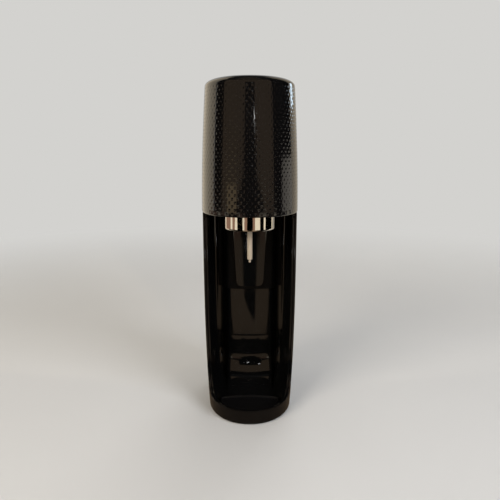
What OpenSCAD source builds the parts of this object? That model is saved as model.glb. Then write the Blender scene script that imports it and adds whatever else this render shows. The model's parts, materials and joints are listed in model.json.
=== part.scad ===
// Sparkling water maker with a press button on top, a tilting bottle holder and a gas cylinder behind.
// Millimetres. The front faces -Y, the part stands on z = 0 and is centred on the origin.

/* [Overall] */
// Width at the lower edge of the head, its widest place
body_w = 124; // [122:1:132]
// Depth from the front of the head to the rear cover
body_d = 186; // [184:1:196]
// Height to the crown of the button
body_h = 430; // [422:1:445]
// Height of the lower edge of the head
head_z = 266; // [260:1:270]
// How far the rounded front stands ahead of the widest section
front_bow = 76; // [72:1:80]
// Wall of the outer shells
wall = 2.6; // [2.2:0.1:3]

/* [Outline] */
// Width where the shoulder of the head begins
head_top_w = 112; // [109:1:116]
// Width at the foot of the body
base_w = 111; // [108:1:116]
// How far the body stands in behind the head on each side
seam_step = 0.8; // [0.4:0.1:1]
// How far the shoulder comes in at the top of the head
shoulder_w = 15; // [12:1:17]
// Height of the shoulder
shoulder_h = 8; // [6:0.5:10]
// Fullness of the front's plan curve, where 2 is an ellipse
front_n = 2.1; // [2:0.1:2.4]
// Fullness of the rear's plan curve
rear_n = 3; // [2.6:0.1:3.4]

/* [Front opening] */
// Height of the rim in front of the bottle
rim_z = 19; // [18:0.5:24]
// Distance from the front of the head to the front edge of the side walls
edge_d = 59; // [54:1:63]
// Radius between the rim and the side walls
edge_r = 26; // [20:1:30]
// Height of the neck of the body inside the head
neck_h = 12; // [8:1:14]

/* [Cavity] */
// Wall of the liner
liner_t = 2; // [1.6:0.1:2.4]
// Height of the cavity floor
floor_z = 8.5; // [8.2:0.1:9.5]
// Radius of the flat floor, under the bottle
floor_r = 40; // [37:0.5:42]
// How far the flat floor reaches behind the bottle's axis
floor_back = 9; // [6:1:14]
// Height of the bowl at the foot of the column
bowl_h = 46; // [40:1:56]
// Height of the bowl behind the front rim
rim_bowl_h = 8; // [6:0.5:9]
// Height of the seam between the bowl's moulding and the walls over it
bowl_seam_z = 80; // [72:1:88]
// Distance from the gas cylinder's axis forward to the wings beside the column
wing_d = 14; // [11:1:17]
// Radius between the column and the wings
wing_r = 8; // [5:1:9]
// Radius of the column's broad front in plan
column_bow_r = 150; // [110:5:200]
// Radius of the column's front corners
column_corner = 6.5; // [6:0.5:11]
// How far the upper panel behind the nozzle reaches under the head
panel_drop = 116; // [100:1:125]
// Thickness of the upper panel
panel_t = 2; // [1.5:0.1:2.4]
// Half-width of the upper panel
panel_x = 45; // [44:0.5:47]

/* [Drip tray] */
// Gap between the tray and the edge of the flat floor
tray_in = 0.5; // [0.3:0.1:1.5]
// Height of the tray
tray_h = 4; // [3:0.5:6]
// Wall of the tray
tray_t = 1.6; // [1.2:0.1:2]

/* [Button] */
// Gap round the button
button_gap = 1; // [0.8:0.1:1.4]
// Rise of the button's crown over the shoulder
button_rise = 3; // [2:0.5:4]
// Wall of the button
button_t = 2.4; // [2:0.1:2.8]
// Depth of the button's skirt
button_skirt = 12; // [9:1:13]
// Depth of the hinge axis under the crown
hinge_drop = 26; // [25:0.5:28]
// Radius of the hinge pin
hinge_r = 2.5; // [2:0.25:3]
// Distance from the rear of the part to the hinge axis
hinge_back = 19; // [17:0.5:21]

/* [Bottle holder] */
// Outer radius of the metal collar
collar_r = 34; // [32:0.5:34.5]
// Wall of the metal collar
collar_t = 4; // [3:0.5:5]
// How far the collar hangs under the head
collar_drop = 20; // [17:1:24]
// Distance from the front of the head to the collar's axis
collar_d = 53; // [50:1:56]
// Outer radius of the nozzle
nozzle_r = 3.3; // [2.8:0.1:3.8]
// How far the nozzle reaches under the head
nozzle_drop = 65; // [58:0.5:74]
// Width of the shield behind the bottle neck
shield_w = 48; // [42:1:52]
// Width of the shield at its lower end
shield_end_w = 38.5; // [34:0.5:46]
// How far the shield reaches under the head
shield_drop = 111; // [95:1:120]
// Wall of the shield
shield_t = 2.5; // [2:0.1:3]
// Height of the holder's pivot over the lower edge of the head
pivot_rise = 36; // [34:1:40]
// Distance from the collar's axis back to the pivot
pivot_back = 28; // [26:0.5:30]
// Radius of the pivot pins
pivot_r = 4; // [3:0.25:4.5]

/* [Gas] */
// Radius of the gas cylinder
cyl_r = 30; // [28:0.5:30.5]
// Gap between the gas cylinder and the rear cover
cyl_back = 8.4; // [7:0.2:10]
// Wall of the gas cylinder
cyl_t = 2.5; // [2:0.1:3.5]
// Radius of the screw thread on the cylinder valve
thread_r = 10.4; // [9:0.1:11]
// Radius of the plunger
plunger_r = 3; // [2.5:0.1:3.4]
// Outer radius of the gas hose
hose_r = 3.5; // [3:0.1:3.8]

/* [Rear cover] */
// Depth of the rear cover from the back of the part
cover_d = 49; // [46:1:52]
// Distance from the crown of the button down to the top of the rear cover's place
cover_drop = 30; // [28:1:32]
// Height of the base band under the rear cover
base_band = 13.5; // [12:0.5:16]
// Width of the latch button
latch_w = 24; // [20:1:28]
// Height of the latch button
latch_h = 11; // [9:1:12]

/* [Feet] */
// Radius of a rubber foot
foot_r = 7; // [5:0.5:8]
// Height of a rubber foot
foot_h = 3; // [2.5:0.5:4]

/* [Fits] */
// Gap between pieces that don't fit in each other
gap = 0.3; // [0.2:0.05:0.35]
// Radial clearance of a running fit
fit = 0.05; // [0.03:0.01:0.08]
// Radial clearance of a screw in its hole
screw_fit = 0.1; // [0.05:0.05:0.2]

/* [Hidden] */
$fn = 48;

// Colours
gloss_black = "#141313";
inner_black = "#1b1a1a";
tray_grey = "#2a2a2b";
chrome = "#c9c4bd";
cream = "#b3a694";
steel = "#9a9c9e";
brass = "#b08d4a";
rubber = "#242424";
nylon = "#3a3a3c";
alloy = "#a7a9ab";

// How far a lug runs into the piece that it grows from
root_in = 1;

// Plan of the shells
plan_points = 64;
depth_draw = 0.6;
rear_bow = body_d - front_bow;
front_y = -body_d / 2;
rear_y = body_d / 2;
wide_y = front_y + front_bow;
head_power = 1.7;
body_power = 3.2;

// Heights
shoulder_rim_z = body_h - button_rise;
shoulder_z = shoulder_rim_z - shoulder_h;
shoulder_steps = 5;
body_foot_z = foot_h / 2;
plate_up = 1;
plate_z0 = head_z + plate_up;
plate_t = 3;
plate_z1 = plate_z0 + plate_t;
deck_t = 4;
deck_drop = 48;
deck_z0 = body_h - deck_drop;
deck_z1 = deck_z0 + deck_t;

// Front opening
edge_y = front_y + edge_d;
neck_in = wall + gap;
neck_t = 1.2;
neck_play = 0.2;
neck_root = 3;
seam_gap = 1.6;
body_top_z = head_z - seam_gap;

// Rear cover
seam_y = rear_y - cover_d;
cover_side_gap = 0.4;
cover_foot_gap = 0.5;
cover_tip_gap = 1.2;
cover_y0 = seam_y + cover_side_gap;
cover_z0 = base_band + cover_foot_gap;
cover_top_z = body_h - cover_drop;
cover_z1 = cover_top_z - cover_tip_gap;
cover_columns = 24;
cover_rows = 12;

// Gas line
cyl_y = rear_y - wall - cyl_back - cyl_r;
base_t = 3;
base_z1 = foot_h + base_t;
pad_t = 3.2;
cyl_z0 = base_z1 + pad_t + gap;
valve_drop = 31;
valve_top_z = deck_z0 - valve_drop;
thread_h = 14;
valve_body_h = 15;
valve_body_r = thread_r + 2.6;
neck_z = valve_top_z - thread_h - valve_body_h;
dome_rise = 28;
cyl_neck_h = 6;
cyl_blend = 1;
cyl_foot_in = 10;
cyl_foot_up = 3;
cyl_foot_round = 3;
cyl_foot_core = 10;
valve_taper = 2;
thread_lead = 1;
neck_r = 12;
neck_bore_r = 9;
pin_r = 2;
pin_out = 1.5;
pin_len = 9.5;
pin_room = 2;
block_w = 44;
block_d = 36;
block_cover = 11;
block_z0 = valve_top_z - block_cover;
socket_r = 16;
socket_h = 12;
socket_out = 2;
socket_z0 = block_z0 - socket_out;
socket_z1 = socket_z0 + socket_h;
chamber_h = 4;
chamber_z1 = socket_z1 + chamber_h;
port_drop = 16;
port_z = deck_z0 - port_drop;
nose_r = 4;
plunger_z0 = valve_top_z + pin_out + gap;
plunger_head_r = 6;
plunger_head_h = 3;
hinge_y = rear_y - hinge_back;
hinge_z = body_h - hinge_drop;
hinge_hub_r = 6;
hinge_ear_x0 = 22;
hinge_ear_x1 = 27;
hinge_pin_out = 1;
deck_lip = 1;
deck_side = 4;
deck_y1 = hinge_y + hinge_hub_r + deck_lip;
plunger_sunk = 3;
plunger_z1 = hinge_z - plunger_sunk;
lever_nose_z = plunger_z1 + gap + nose_r;
spring_play = 1.8;
spring_wire = 0.6;
spring_turns = 5;
seal_r = 4.9;
seal_h = 3.5;
socket_seal_in = 1.5;

// Column of the liner, round the gas cylinder
cyl_play = 2;
column_r = cyl_r + cyl_play + liner_t;
wing_y = cyl_y - wing_d;
wing_c = [column_r + wing_r, wing_y - wing_r];
column_y = cyl_y - column_r;
bow_y = column_y + column_bow_r;
turn_x = column_r - column_corner;
turn_c = [turn_x, bow_y - sqrt(pow(column_bow_r - column_corner, 2) - pow(turn_x, 2))];
turn_a = atan2(turn_c.y - bow_y, turn_c.x);
corner_r = 6;
liner_in = neck_in - seam_step + neck_t + neck_play + liner_t;
liner_top = plate_z0 - gap;
liner_rim_drop = 0.8;

// Bottle holder
collar_y = front_y + collar_d;
collar_z0 = head_z - collar_drop;
disc_play = 1;
disc_z0 = plate_z1 + disc_play;
disc_t = 6;
disc_z1 = disc_z0 + disc_t;
cup_r = collar_r - collar_t - gap;
cup_t = 4.7;
mouth_r = cup_r - cup_t;
pivot_y = collar_y + pivot_back;
pivot_z = head_z + pivot_rise;
ear_x0 = 30;
ear_x1 = 36;
hub_r = 9;
ear_play = 2;
cheek_x0 = ear_x1 + ear_play;
cheek_t = 3;
cheek_x1 = cheek_x0 + cheek_t;
swing = 8;
nozzle_z0 = head_z - nozzle_drop;
tip_h = 4.5;
tip_cone = 2.2;
tip_r = 1.2;
tip_ball_r = 1.5;
shield_play = 1;
shield_in = column_bow_r + gap + panel_t + shield_play;
shield_out = shield_in + shield_t;
shield_edge_y = bow_y - sqrt(pow(shield_in, 2) - pow(shield_w / 2, 2));
shield_corner = 8;
shield_straight = 3;
shield_z0 = head_z - shield_drop;
ear_front = 10;
ear_rear = 4;
ear_top = 8;
web_x = 18;
web_in = 6;
cup_up = 1.5;
collar_chamfer = 0.6;
collar_round = 2;
bottle_seal_h = 4;
bottle_seal_in = 6;
nozzle_up = 12;
nut_w = 4.6;
nut_h = 5;
pin_head_h = 2.5;
pin_head_w = 2;
swivel_x0 = 21;
swivel_play = 1.5;
swivel_x1 = ear_x0 - swivel_play;
swivel_r = 7;
swivel_stub = 4;
swivel_z1 = pivot_z + swivel_r + swivel_stub;

// Signed power, for the plan curves
function lobe(v, n) = sign(v) * pow(abs(v), 2 / n);

// Point of a plan curve at an angle: half-width w, bow f to the front and r to the rear
function oval(t, w, f, r) = sin(t) < 0
    ? [w * lobe(cos(t), front_n), wide_y + f * lobe(sin(t), front_n)]
    : [w * lobe(cos(t), rear_n), wide_y + r * lobe(sin(t), rear_n)];

// A bow of the plan, drawn in together with the half-width
function drawn(bow, half) = bow - depth_draw * (body_w / 2 - half);

function plan_point(t, half, inset) =
    oval(t, half - inset, drawn(front_bow, half) - inset, drawn(rear_bow, half) - inset);

function plan(half, inset) = [for (i = [0:plan_points - 1]) plan_point(360 * i / plan_points, half, inset)];

function lift(points, z) = [for (p = points) [p.x, p.y, z]];

// Angle at which a plan curve crosses the line y on its rear half
function rear_angle(y, half, inset) = asin(pow((y - wide_y) / (drawn(rear_bow, half) - inset), rear_n / 2));

// Half-widths of the three outer shells
function head_half(z) =
    body_w / 2 - (body_w - head_top_w) / 2 * pow(max(0, z - head_z) / (shoulder_z - head_z), head_power);
function body_half(z) =
    let (top = body_w / 2 - seam_step)
    top - (top - base_w / 2) * pow(max(0, head_z - z) / head_z, body_power);
function cover_half(z) = z > head_z
    ? head_half(z)
    : body_w / 2 - (body_w - base_w) / 2 * pow((head_z - z) / head_z, body_power);

// Rearmost place of the rear cover's outer face at a height
function cover_rear_y(z) = rear_y - depth_draw * (body_w / 2 - cover_half(z));

function mix(a, b, s) = a + (b - a) * s;
function clamp01(v) = min(1, max(0, v));
function ease(v) = let (s = clamp01(v)) s * s * (3 - 2 * s);
function reversed(list) = [for (i = [len(list) - 1:-1:0]) list[i]];

// Solid skinned over rings of equal length, closed on itself or capped at both ends
module skin(rings, closed = false) {
    n = len(rings[0]);
    m = len(rings);
    sides = [
        for (k = [0:closed ? m - 1 : m - 2])
            for (i = [0:n - 1])
                let (a = k * n, b = (k + 1) % m * n, j = (i + 1) % n)
                    each [[a + i, b + i, a + j], [a + j, b + i, b + j]]
    ];
    caps = closed ? [] : [[for (i = [0:n - 1]) i], [for (i = [n - 1:-1:0]) (m - 1) * n + i]];
    polyhedron(points = [for (r = rings) each r], faces = concat(sides, caps));
}

// Sheet between two grids of points of the same size, closed round its edges
module slab(outer, inner) {
    rows = len(outer);
    cols = len(outer[0]);
    back = rows * cols;
    face = [
        for (k = [0:rows - 2])
            for (i = [0:cols - 2])
                let (a = k * cols + i, b = a + cols)
                    each [
                        [a, b, a + 1], [a + 1, b, b + 1],
                        [back + a, back + a + 1, back + b], [back + a + 1, back + b + 1, back + b],
                    ]
    ];
    rim = concat(
        [for (i = [0:cols - 1]) i],
        [for (k = [1:rows - 1]) k * cols + cols - 1],
        [for (i = [cols - 2:-1:0]) (rows - 1) * cols + i],
        [for (k = [rows - 2:-1:1]) k * cols]
    );
    edge = [
        for (q = [0:len(rim) - 1])
            let (a = rim[q], b = rim[(q + 1) % len(rim)])
                each [[a, b, back + a], [b, back + b, back + a]]
    ];
    polyhedron(
        points = concat([for (r = outer) each r], [for (r = inner) each r]),
        faces = concat(face, edge)
    );
}

module along_x(y, z, x0, x1, r) {
    translate([x0, y, z]) rotate([0, 90, 0]) cylinder(r = r, h = x1 - x0);
}

module along_y(x, z, y0, y1, r) {
    translate([x, y0, z]) rotate([-90, 0, 0]) cylinder(r = r, h = y1 - y0);
}

module upright(x, y, z0, z1, r) {
    translate([x, y, z0]) cylinder(r = r, h = z1 - z0);
}

module box(low, high) {
    translate(low) cube(high - low);
}

// Ring about the upright axis through y
module washer(y, z0, z1, r_in, r_out) {
    difference() {
        upright(0, y, z0, z1, r_out);
        upright(0, y, z0 - 1, z1 + 1, r_in);
    }
}

module both_sides() {
    children();
    mirror([1, 0, 0]) children();
}

// Space in front of the bottle, cut through the side walls
module front_opening(drop = 0) {
    corner = [edge_y - edge_r, rim_z - drop + edge_r];
    outline = concat(
        [[2 * front_y, head_z + body_w], [2 * front_y, rim_z - drop]],
        [for (a = [-90:10:0]) corner + edge_r * [cos(a), sin(a)]],
        [[edge_y, head_z + body_w]]
    );
    translate([-body_w, 0, 0]) rotate([90, 0, 90]) linear_extrude(2 * body_w) polygon(outline);
}

// Outer shells

head_levels = [0, 0.24, 0.46, 0.65, 0.82, 0.92, 1];

function shoulder_ring(a, t) =
    lift(
        plan(head_half(shoulder_z), t + (shoulder_w - t) * (1 - cos(a))),
        shoulder_z + (shoulder_h - t) * sin(a)
    );

function head_side(t) = concat(
    [for (s = head_levels) let (z = mix(head_z, shoulder_z, s)) lift(plan(head_half(z), t), z)],
    [for (k = [1:shoulder_steps]) shoulder_ring(90 * k / shoulder_steps, t)]
);

module head_cover() color(gloss_black) {
    difference() {
        skin(concat(head_side(0), reversed(head_side(wall))), closed = true);
        box([-body_w, seam_y, 0], [body_w, body_d, cover_top_z]);
    }
}

body_levels = [0, 0.05, 0.15, 0.29, 0.44, 0.6, 0.8, 1];

module body_shell() color(gloss_black) {
    heights = [for (s = body_levels) mix(body_foot_z, body_top_z, s)];
    outer = [for (z = heights) lift(plan(body_half(z), 0), z)];
    inner = [for (z = heights) lift(plan(body_half(z), wall), z)];
    neck_out = neck_in - seam_step;
    top_half = body_half(body_top_z);
    neck = [
        lift(plan(top_half, neck_out), body_top_z),
        lift(plan(top_half, neck_out), head_z + neck_h),
        lift(plan(top_half, neck_out + neck_t), head_z + neck_h),
        lift(plan(top_half, neck_out + neck_t), body_top_z - neck_root),
        lift(plan(top_half, wall), body_top_z - 2 * neck_root),
    ];
    below_neck = [for (k = [len(heights) - 2:-1:0]) inner[k]];
    difference() {
        skin(concat(outer, neck, below_neck), closed = true);
        front_opening();
        box([-body_w, seam_y, base_band], [body_w, body_d, body_h]);
    }
}

// One face of the rear cover as rows of points, at a depth under its outer surface
function cover_face(inset) = [
    for (k = [0:cover_rows])
        let (
            z = mix(cover_z0, cover_z1, k / cover_rows),
            half = cover_half(z),
            a = rear_angle(cover_y0, half, inset)
        )
            [
                for (i = [0:cover_columns])
                    let (p = plan_point(mix(a, 180 - a, i / cover_columns), half, inset)) [p.x, p.y, z]
            ]
];

latch_drop = 16;
latch_z = deck_z0 - latch_drop;
latch_z0 = latch_z - latch_h / 2;
latch_z1 = latch_z + latch_h / 2;
latch_sunk = 0.4;
latch_y = cover_rear_y(latch_z) - latch_sunk;
latch_lip = 2;
flange_t = 3;
flange_y1 = latch_y - wall - 2 * gap;
flange_y0 = flange_y1 - flange_t;
hook_t = 3;
hook_y0 = deck_y1 - hook_t - gap;
hook_z0 = latch_z1 + latch_lip - hook_t;
latch_spring_r = 3;
latch_wire = 0.4;
latch_turns = 4;
cage_t = 2;
cage_room = 8;
cage_lip = 6;
cage_y0 = flange_y0 - cage_room - cage_t;
cage_x = latch_w / 2 + cage_lip;
cage_z0 = latch_z0 - cage_lip;
tab_x0 = 4;
tab_x1 = 14;
tab_t = 2.6;
tab_back = 1.4;
tab_drop = 6;

module rear_cover() color(gloss_black) {
    inner_y = latch_y - wall;
    tab_y1 = cover_rear_y(cover_z0) - wall;
    tab_y0 = tab_y1 - tab_back - tab_t;
    difference() {
        slab(cover_face(0), cover_face(wall));
        box([-latch_w / 2 - gap, flange_y0, latch_z0 - gap], [latch_w / 2 + gap, body_d, latch_z1 + gap]);
    }
    box([-cage_x, cage_y0, cage_z0], [cage_x, inner_y + root_in, cage_z0 + cage_t]);
    box([-cage_x, cage_y0, cage_z0], [cage_x, cage_y0 + cage_t, latch_z + latch_spring_r + latch_wire]);
    both_sides() {
        box([tab_x0, tab_y0, cover_z0], [tab_x1, tab_y1 + root_in, cover_z0 + tab_t]);
        box([tab_x0, tab_y0, cover_z0 - tab_drop], [tab_x1, tab_y0 + tab_t, cover_z0 + root_in]);
    }
}

module cover_latch() color(gloss_black) {
    box([-latch_w / 2, flange_y0, latch_z0], [latch_w / 2, latch_y, latch_z1]);
    box(
        [-latch_w / 2 - latch_lip, flange_y0, latch_z0 - latch_lip],
        [latch_w / 2 + latch_lip, flange_y1, latch_z1 + latch_lip]
    );
    box([-latch_w / 4, hook_y0, hook_z0], [latch_w / 4, flange_y0 + root_in, latch_z1 + latch_lip]);
    box([-latch_w / 4, hook_y0, hook_z0], [latch_w / 4, hook_y0 + hook_t, deck_z0 - 2 * gap]);
}

// Rings of a round wire wound about an axis: mean radius, wire radius, turns and free length
function coil_ring(a, r, wire, pitch) =
    [
        for (k = [0:5])
            let (q = r + wire * cos(60 * k))
                [q * cos(a), q * sin(a), pitch * a / 360 + wire * sin(60 * k)]
    ];

module coil(r, wire, turns, length) {
    pitch = (length - 2 * wire) / turns;
    steps = 12 * turns;
    translate([0, 0, wire])
        skin([for (i = [0:steps]) coil_ring(360 * turns * i / steps, r, wire, pitch)]);
}

module latch_spring() color(steel) {
    translate([0, cage_y0 + cage_t + gap, latch_z]) rotate([-90, 0, 0])
        coil(latch_spring_r, latch_wire, latch_turns, cage_room - 2 * gap);
}

// Cavity

front_steps = 14;
corner_steps = 3;
wing_steps = 3;
turn_steps = 4;
column_steps = 4;

// Half of the column's plan: the fillet at the wing, the round corner and the bowed front
function column_side(g) =
    concat(
        [
            for (i = [0:wing_steps])
                let (a = mix(90, 180, i / wing_steps)) wing_c + (wing_r + g) * [cos(a), sin(a)]
        ],
        [
            for (i = [0:turn_steps])
                let (a = mix(0, turn_a, i / turn_steps)) turn_c + (column_corner - g) * [cos(a), sin(a)]
        ],
        [
            for (i = [1:column_steps])
                let (a = mix(turn_a, -90, i / column_steps))
                    [0, bow_y] + (column_bow_r - g) * [cos(a), sin(a)]
        ]
    );

// Half of the liner's plan from the front to the back of the cavity, grown outwards by g
function liner_side(z, g) =
    let (
        inset = liner_in - g,
        half = body_half(z),
        turn_y = wing_y - corner_r,
        end = rear_angle(turn_y, half, inset),
        side = plan_point(end, half, inset),
        corner = [side.x - corner_r - g, turn_y]
    )
    concat(
        [for (i = [0:front_steps]) plan_point(mix(-90, end, i / front_steps), half, inset)],
        [
            for (i = [1:corner_steps])
                corner + (corner_r + g) * [cos(90 * i / corner_steps), sin(90 * i / corner_steps)]
        ],
        column_side(g)
    );

function liner_plan(z, g) =
    let (right = liner_side(z, g), n = len(right))
    concat(right, [for (i = [n - 2:-1:1]) [-right[i].x, right[i].y]]);

// Share of the bowl at a place: 0 at the front rim and 1 at the column
bowl_lead = 5;
bowl_y0 = collar_y - bowl_lead;

function bowl_share(y) = ease((y - bowl_y0) / (column_y - bowl_y0));

// Point of the floor's outline in the direction d: round in front and shallower behind the bottle's axis
floor_spread = 0.45;

function floor_point(d, r, back) =
    let (e = [d.x, d.y > 0 ? d.y * floor_spread : d.y], u = e / norm(e))
    [r * u.x, collar_y + (u.y > 0 ? back : r) * u.y];

// Rings of one face of the liner, from the floor up to its top edge
function liner_face(g) =
    let (
        foot = liner_plan(floor_z, g),
        n = len(foot),
        flat = [for (p = foot) floor_point(p - [0, collar_y], floor_r + g, floor_back + g)],
        bowl_top = [for (p = foot) floor_z - g + mix(rim_bowl_h, bowl_h, bowl_share(p.y))]
    )
    concat(
        [
            for (a = [90:-15:15])
                [
                    for (i = [0:n - 1])
                        let (q = mix(foot[i], flat[i], 1 - cos(a)))
                            [q.x, q.y, mix(floor_z - g, bowl_top[i], 1 - sin(a))]
                ]
        ],
        [
            for (s = [0, 0.3, 0.65, 1])
                [
                    for (i = [0:n - 1])
                        let (z = mix(bowl_top[i], liner_top, s), q = liner_plan(z, g)[i]) [q.x, q.y, z]
                ]
        ]
    );

module inner_wall() {
    difference() {
        skin(concat(liner_face(0), reversed(liner_face(liner_t))));
        front_opening(drop = liner_rim_drop);
    }
}

// Walls and column over the seam
module cavity_liner() color(inner_black) {
    difference() {
        inner_wall();
        box([-body_w, -body_d, 0], [body_w, body_d, bowl_seam_z]);
    }
}

// Bowl, its floor and the inside of the front rim
module cavity_bowl() color(inner_black) {
    difference() {
        inner_wall();
        box([-body_w, -body_d, bowl_seam_z - gap], [body_w, body_d, body_h]);
    }
}

// Upper panel on the back of the cavity, from wing to wing round the column
function panel_row(g) =
    let (
        right = concat([[panel_x, wing_y + g]], column_side(g)),
        m = len(right)
    )
    concat(right, [for (i = [m - 2:-1:0]) [-right[i].x, right[i].y]]);

module back_panel() color(gloss_black) {
    heights = [head_z - panel_drop, liner_top];
    front = panel_row(-gap - panel_t);
    back = panel_row(-gap);
    slab([for (z = heights) lift(back, z)], [for (z = heights) lift(front, z)]);
}

tray_z0 = floor_z + gap;

module tray_prism(inset, z0, z1) {
    r = floor_r - tray_in - inset;
    back = floor_back - tray_in - inset;
    outline = [for (a = [0:6:354]) floor_point([cos(a), sin(a)], r, back)];
    translate([0, 0, z0]) linear_extrude(z1 - z0) polygon(outline);
}

module drip_tray() color(tray_grey) {
    difference() {
        tray_prism(0, tray_z0, tray_z0 + tray_h);
        tray_prism(tray_t, tray_z0 + tray_t, tray_z0 + tray_h + 1);
    }
}

// Base

base_screw_in = 15.5;
base_screw_x = base_w / 2 - base_screw_in;
base_screw_front = 7;
base_screw_back = 47;
base_screw_y = [wide_y - base_screw_front, wide_y + base_screw_back];
foot_in = 23.5;
foot_x = base_w / 2 - foot_in;
foot_front = 35;
foot_back = 29;
foot_y = [front_y + foot_front, rear_y - foot_back];
screw_r = 1.6;

module base_plate() color(nylon) {
    difference() {
        translate([0, 0, foot_h])
            linear_extrude(base_t) polygon(plan(body_half(foot_h), wall + gap));
        both_sides() for (y = base_screw_y) upright(base_screw_x, y, 0, body_h, screw_r + screw_fit);
    }
}

module rubber_feet() color(rubber) {
    both_sides() for (y = foot_y) upright(foot_x, y, 0, foot_h, foot_r);
}

module base_screws() color(steel) {
    both_sides() for (y = base_screw_y) {
        upright(base_screw_x, y, foot_h - screw_r, foot_h, 2 * screw_r);
        upright(base_screw_x, y, foot_h - screw_r / 2, base_z1, screw_r);
    }
}

// Head

foot_flange_w = 10;
foot_flange_x = cheek_x1 + foot_flange_w;
foot_flange_t = 3;
foot_flange_z = plate_z1 + foot_flange_t;
frame_screw_x = cheek_x1 + foot_flange_w / 2;
frame_screw_back = [2, 37];
frame_screw_y = [for (d = frame_screw_back) pivot_y + d];
cheek_front = 16;
cheek_rear = 52;
cheek_y0 = pivot_y - cheek_front;
cheek_y1 = pivot_y + cheek_rear;
block_screw_x = 14;
block_screw_r = 2;
block_screw_h = 16;

mouth_play = 3;
edge_play = 1;
wing_cover = 4;

module head_under_plate() color(inner_black) {
    mouth = collar_r + mouth_play;
    slot = shield_w / 2 + mouth_play;
    difference() {
        translate([0, 0, plate_z0]) linear_extrude(plate_t) union() {
            polygon(plan(body_half(head_z), neck_in - seam_step + neck_t + gap));
            intersection() {
                polygon(plan(head_half(head_z), wall + gap));
                translate([-body_w, front_y]) square([2 * body_w, edge_d - edge_play]);
            }
        }
        for (y = [collar_y, collar_y - swing]) upright(0, y, 0, body_h, mouth);
        box([-mouth, collar_y - swing, 0], [mouth, collar_y, body_h]);
        difference() {
            box([-slot, collar_y, 0], [slot, shield_edge_y + mouth_play, body_h]);
            upright(0, bow_y, 0, body_h, column_bow_r + gap);
        }
        upright(0, cyl_y, 0, body_h, cyl_r + cyl_play);
        box([-body_w, wing_y + wing_cover, 0], [body_w, body_d, body_h]);
        both_sides() for (y = frame_screw_y) upright(frame_screw_x, y, 0, body_h, screw_r + screw_fit);
    }
}

module head_frame() color(nylon) {
    deck_x = hinge_ear_x1 + deck_side;
    difference() {
        union() {
            box([-cheek_x1, cheek_y0, deck_z0], [cheek_x1, seam_y, deck_z1]);
            box([-deck_x, seam_y - root_in, deck_z0], [deck_x, deck_y1, deck_z1]);
            both_sides() {
                box([cheek_x0, cheek_y0, plate_z1], [cheek_x1, cheek_y1, deck_z1]);
                box([cheek_x0, cheek_y0, plate_z1], [foot_flange_x, cheek_y1, foot_flange_z]);
                box(
                    [hinge_ear_x0, hinge_y - hinge_hub_r, deck_z0],
                    [hinge_ear_x1, hinge_y + hinge_hub_r, hinge_z]
                );
                along_x(hinge_y, hinge_z, hinge_ear_x0, hinge_ear_x1, hinge_hub_r);
            }
        }
        upright(0, cyl_y, 0, body_h, plunger_r + 2 * gap);
        along_x(pivot_y, pivot_z, -body_w, body_w, pivot_r + fit / 2);
        along_x(hinge_y, hinge_z, -body_w, body_w, hinge_r + fit / 2);
        both_sides() {
            upright(block_screw_x, cyl_y, 0, body_h, block_screw_r + screw_fit);
            for (y = frame_screw_y) upright(frame_screw_x, y, 0, body_h, screw_r + screw_fit);
        }
    }
}

module frame_screws() color(steel) {
    both_sides() for (y = frame_screw_y) {
        upright(frame_screw_x, y, foot_flange_z, foot_flange_z + screw_r, 2 * screw_r);
        upright(frame_screw_x, y, plate_z0, foot_flange_z + root_in, screw_r);
    }
}

// Button

button_in = shoulder_w + button_gap;
button_edge = 1.4;
button_edge_drop = 0.2;
button_edge_z = shoulder_rim_z - button_edge_drop;

function button_ring(inset, z) = lift(plan(head_half(shoulder_z), button_in + inset), z);

function crown_ring(s, t) =
    let (z = mix(body_h, button_edge_z, s * s) - t)
    [for (p = plan(head_half(shoulder_z), button_in + button_edge + t / 2)) [p.x * s, p.y * s, z]];

module top_button() color(gloss_black) {
    skirt_z = shoulder_rim_z - button_skirt;
    crown_steps = [0.12, 0.35, 0.6, 0.85, 1];
    skin(concat(
        [for (s = crown_steps) crown_ring(s, button_t)],
        [
            button_ring(button_t, button_edge_z - button_edge - button_t),
            button_ring(button_t, skirt_z),
            button_ring(0, skirt_z),
            button_ring(0, button_edge_z - button_edge),
            button_ring(0.3 * button_edge, button_edge_z - 0.4 * button_edge),
        ],
        [for (s = reversed(crown_steps)) crown_ring(s, 0)]
    ));
}

lever_x = 20;
lever_front = 45;
lever_y0 = front_y + lever_front;
lever_t = 4;
lever_up = 4;
lever_z0 = hinge_z + lever_up;
lever_post_r = 4;
lever_post_in = 1;
lever_post_x = lever_x - lever_post_r - lever_post_in;
lever_post_y = [lever_y0 + 2 * lever_post_r, cyl_y - 2 * lever_post_r];
lever_hub_x0 = 13;
lever_play = 0.5;
lever_hub_x1 = hinge_ear_x0 - lever_play;
nose_x = 6;
post_share = 0.55;

module press_lever() color(nylon) {
    post_z1 = mix(body_h, button_edge_z, post_share) - button_t - gap;
    difference() {
        union() {
            box([-lever_x, lever_y0, lever_z0], [lever_x, hinge_y - 2 * hinge_hub_r, lever_z0 + lever_t]);
            along_x(cyl_y, lever_nose_z, -nose_x, nose_x, nose_r);
            box([-nose_x, cyl_y - nose_r, lever_nose_z], [nose_x, cyl_y + nose_r, lever_z0 + root_in]);
            both_sides() {
                box([lever_hub_x0, cyl_y, lever_z0], [lever_x, hinge_y, lever_z0 + lever_t]);
                box(
                    [lever_hub_x0, hinge_y - lever_t, hinge_z],
                    [lever_hub_x1, hinge_y + lever_t, lever_z0 + lever_t]
                );
                along_x(hinge_y, hinge_z, lever_hub_x0, lever_hub_x1, hinge_hub_r);
                for (y = lever_post_y) upright(lever_post_x, y, lever_z0, post_z1, lever_post_r);
            }
        }
        along_x(hinge_y, hinge_z, -body_w, body_w, hinge_r + fit);
    }
}

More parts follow.
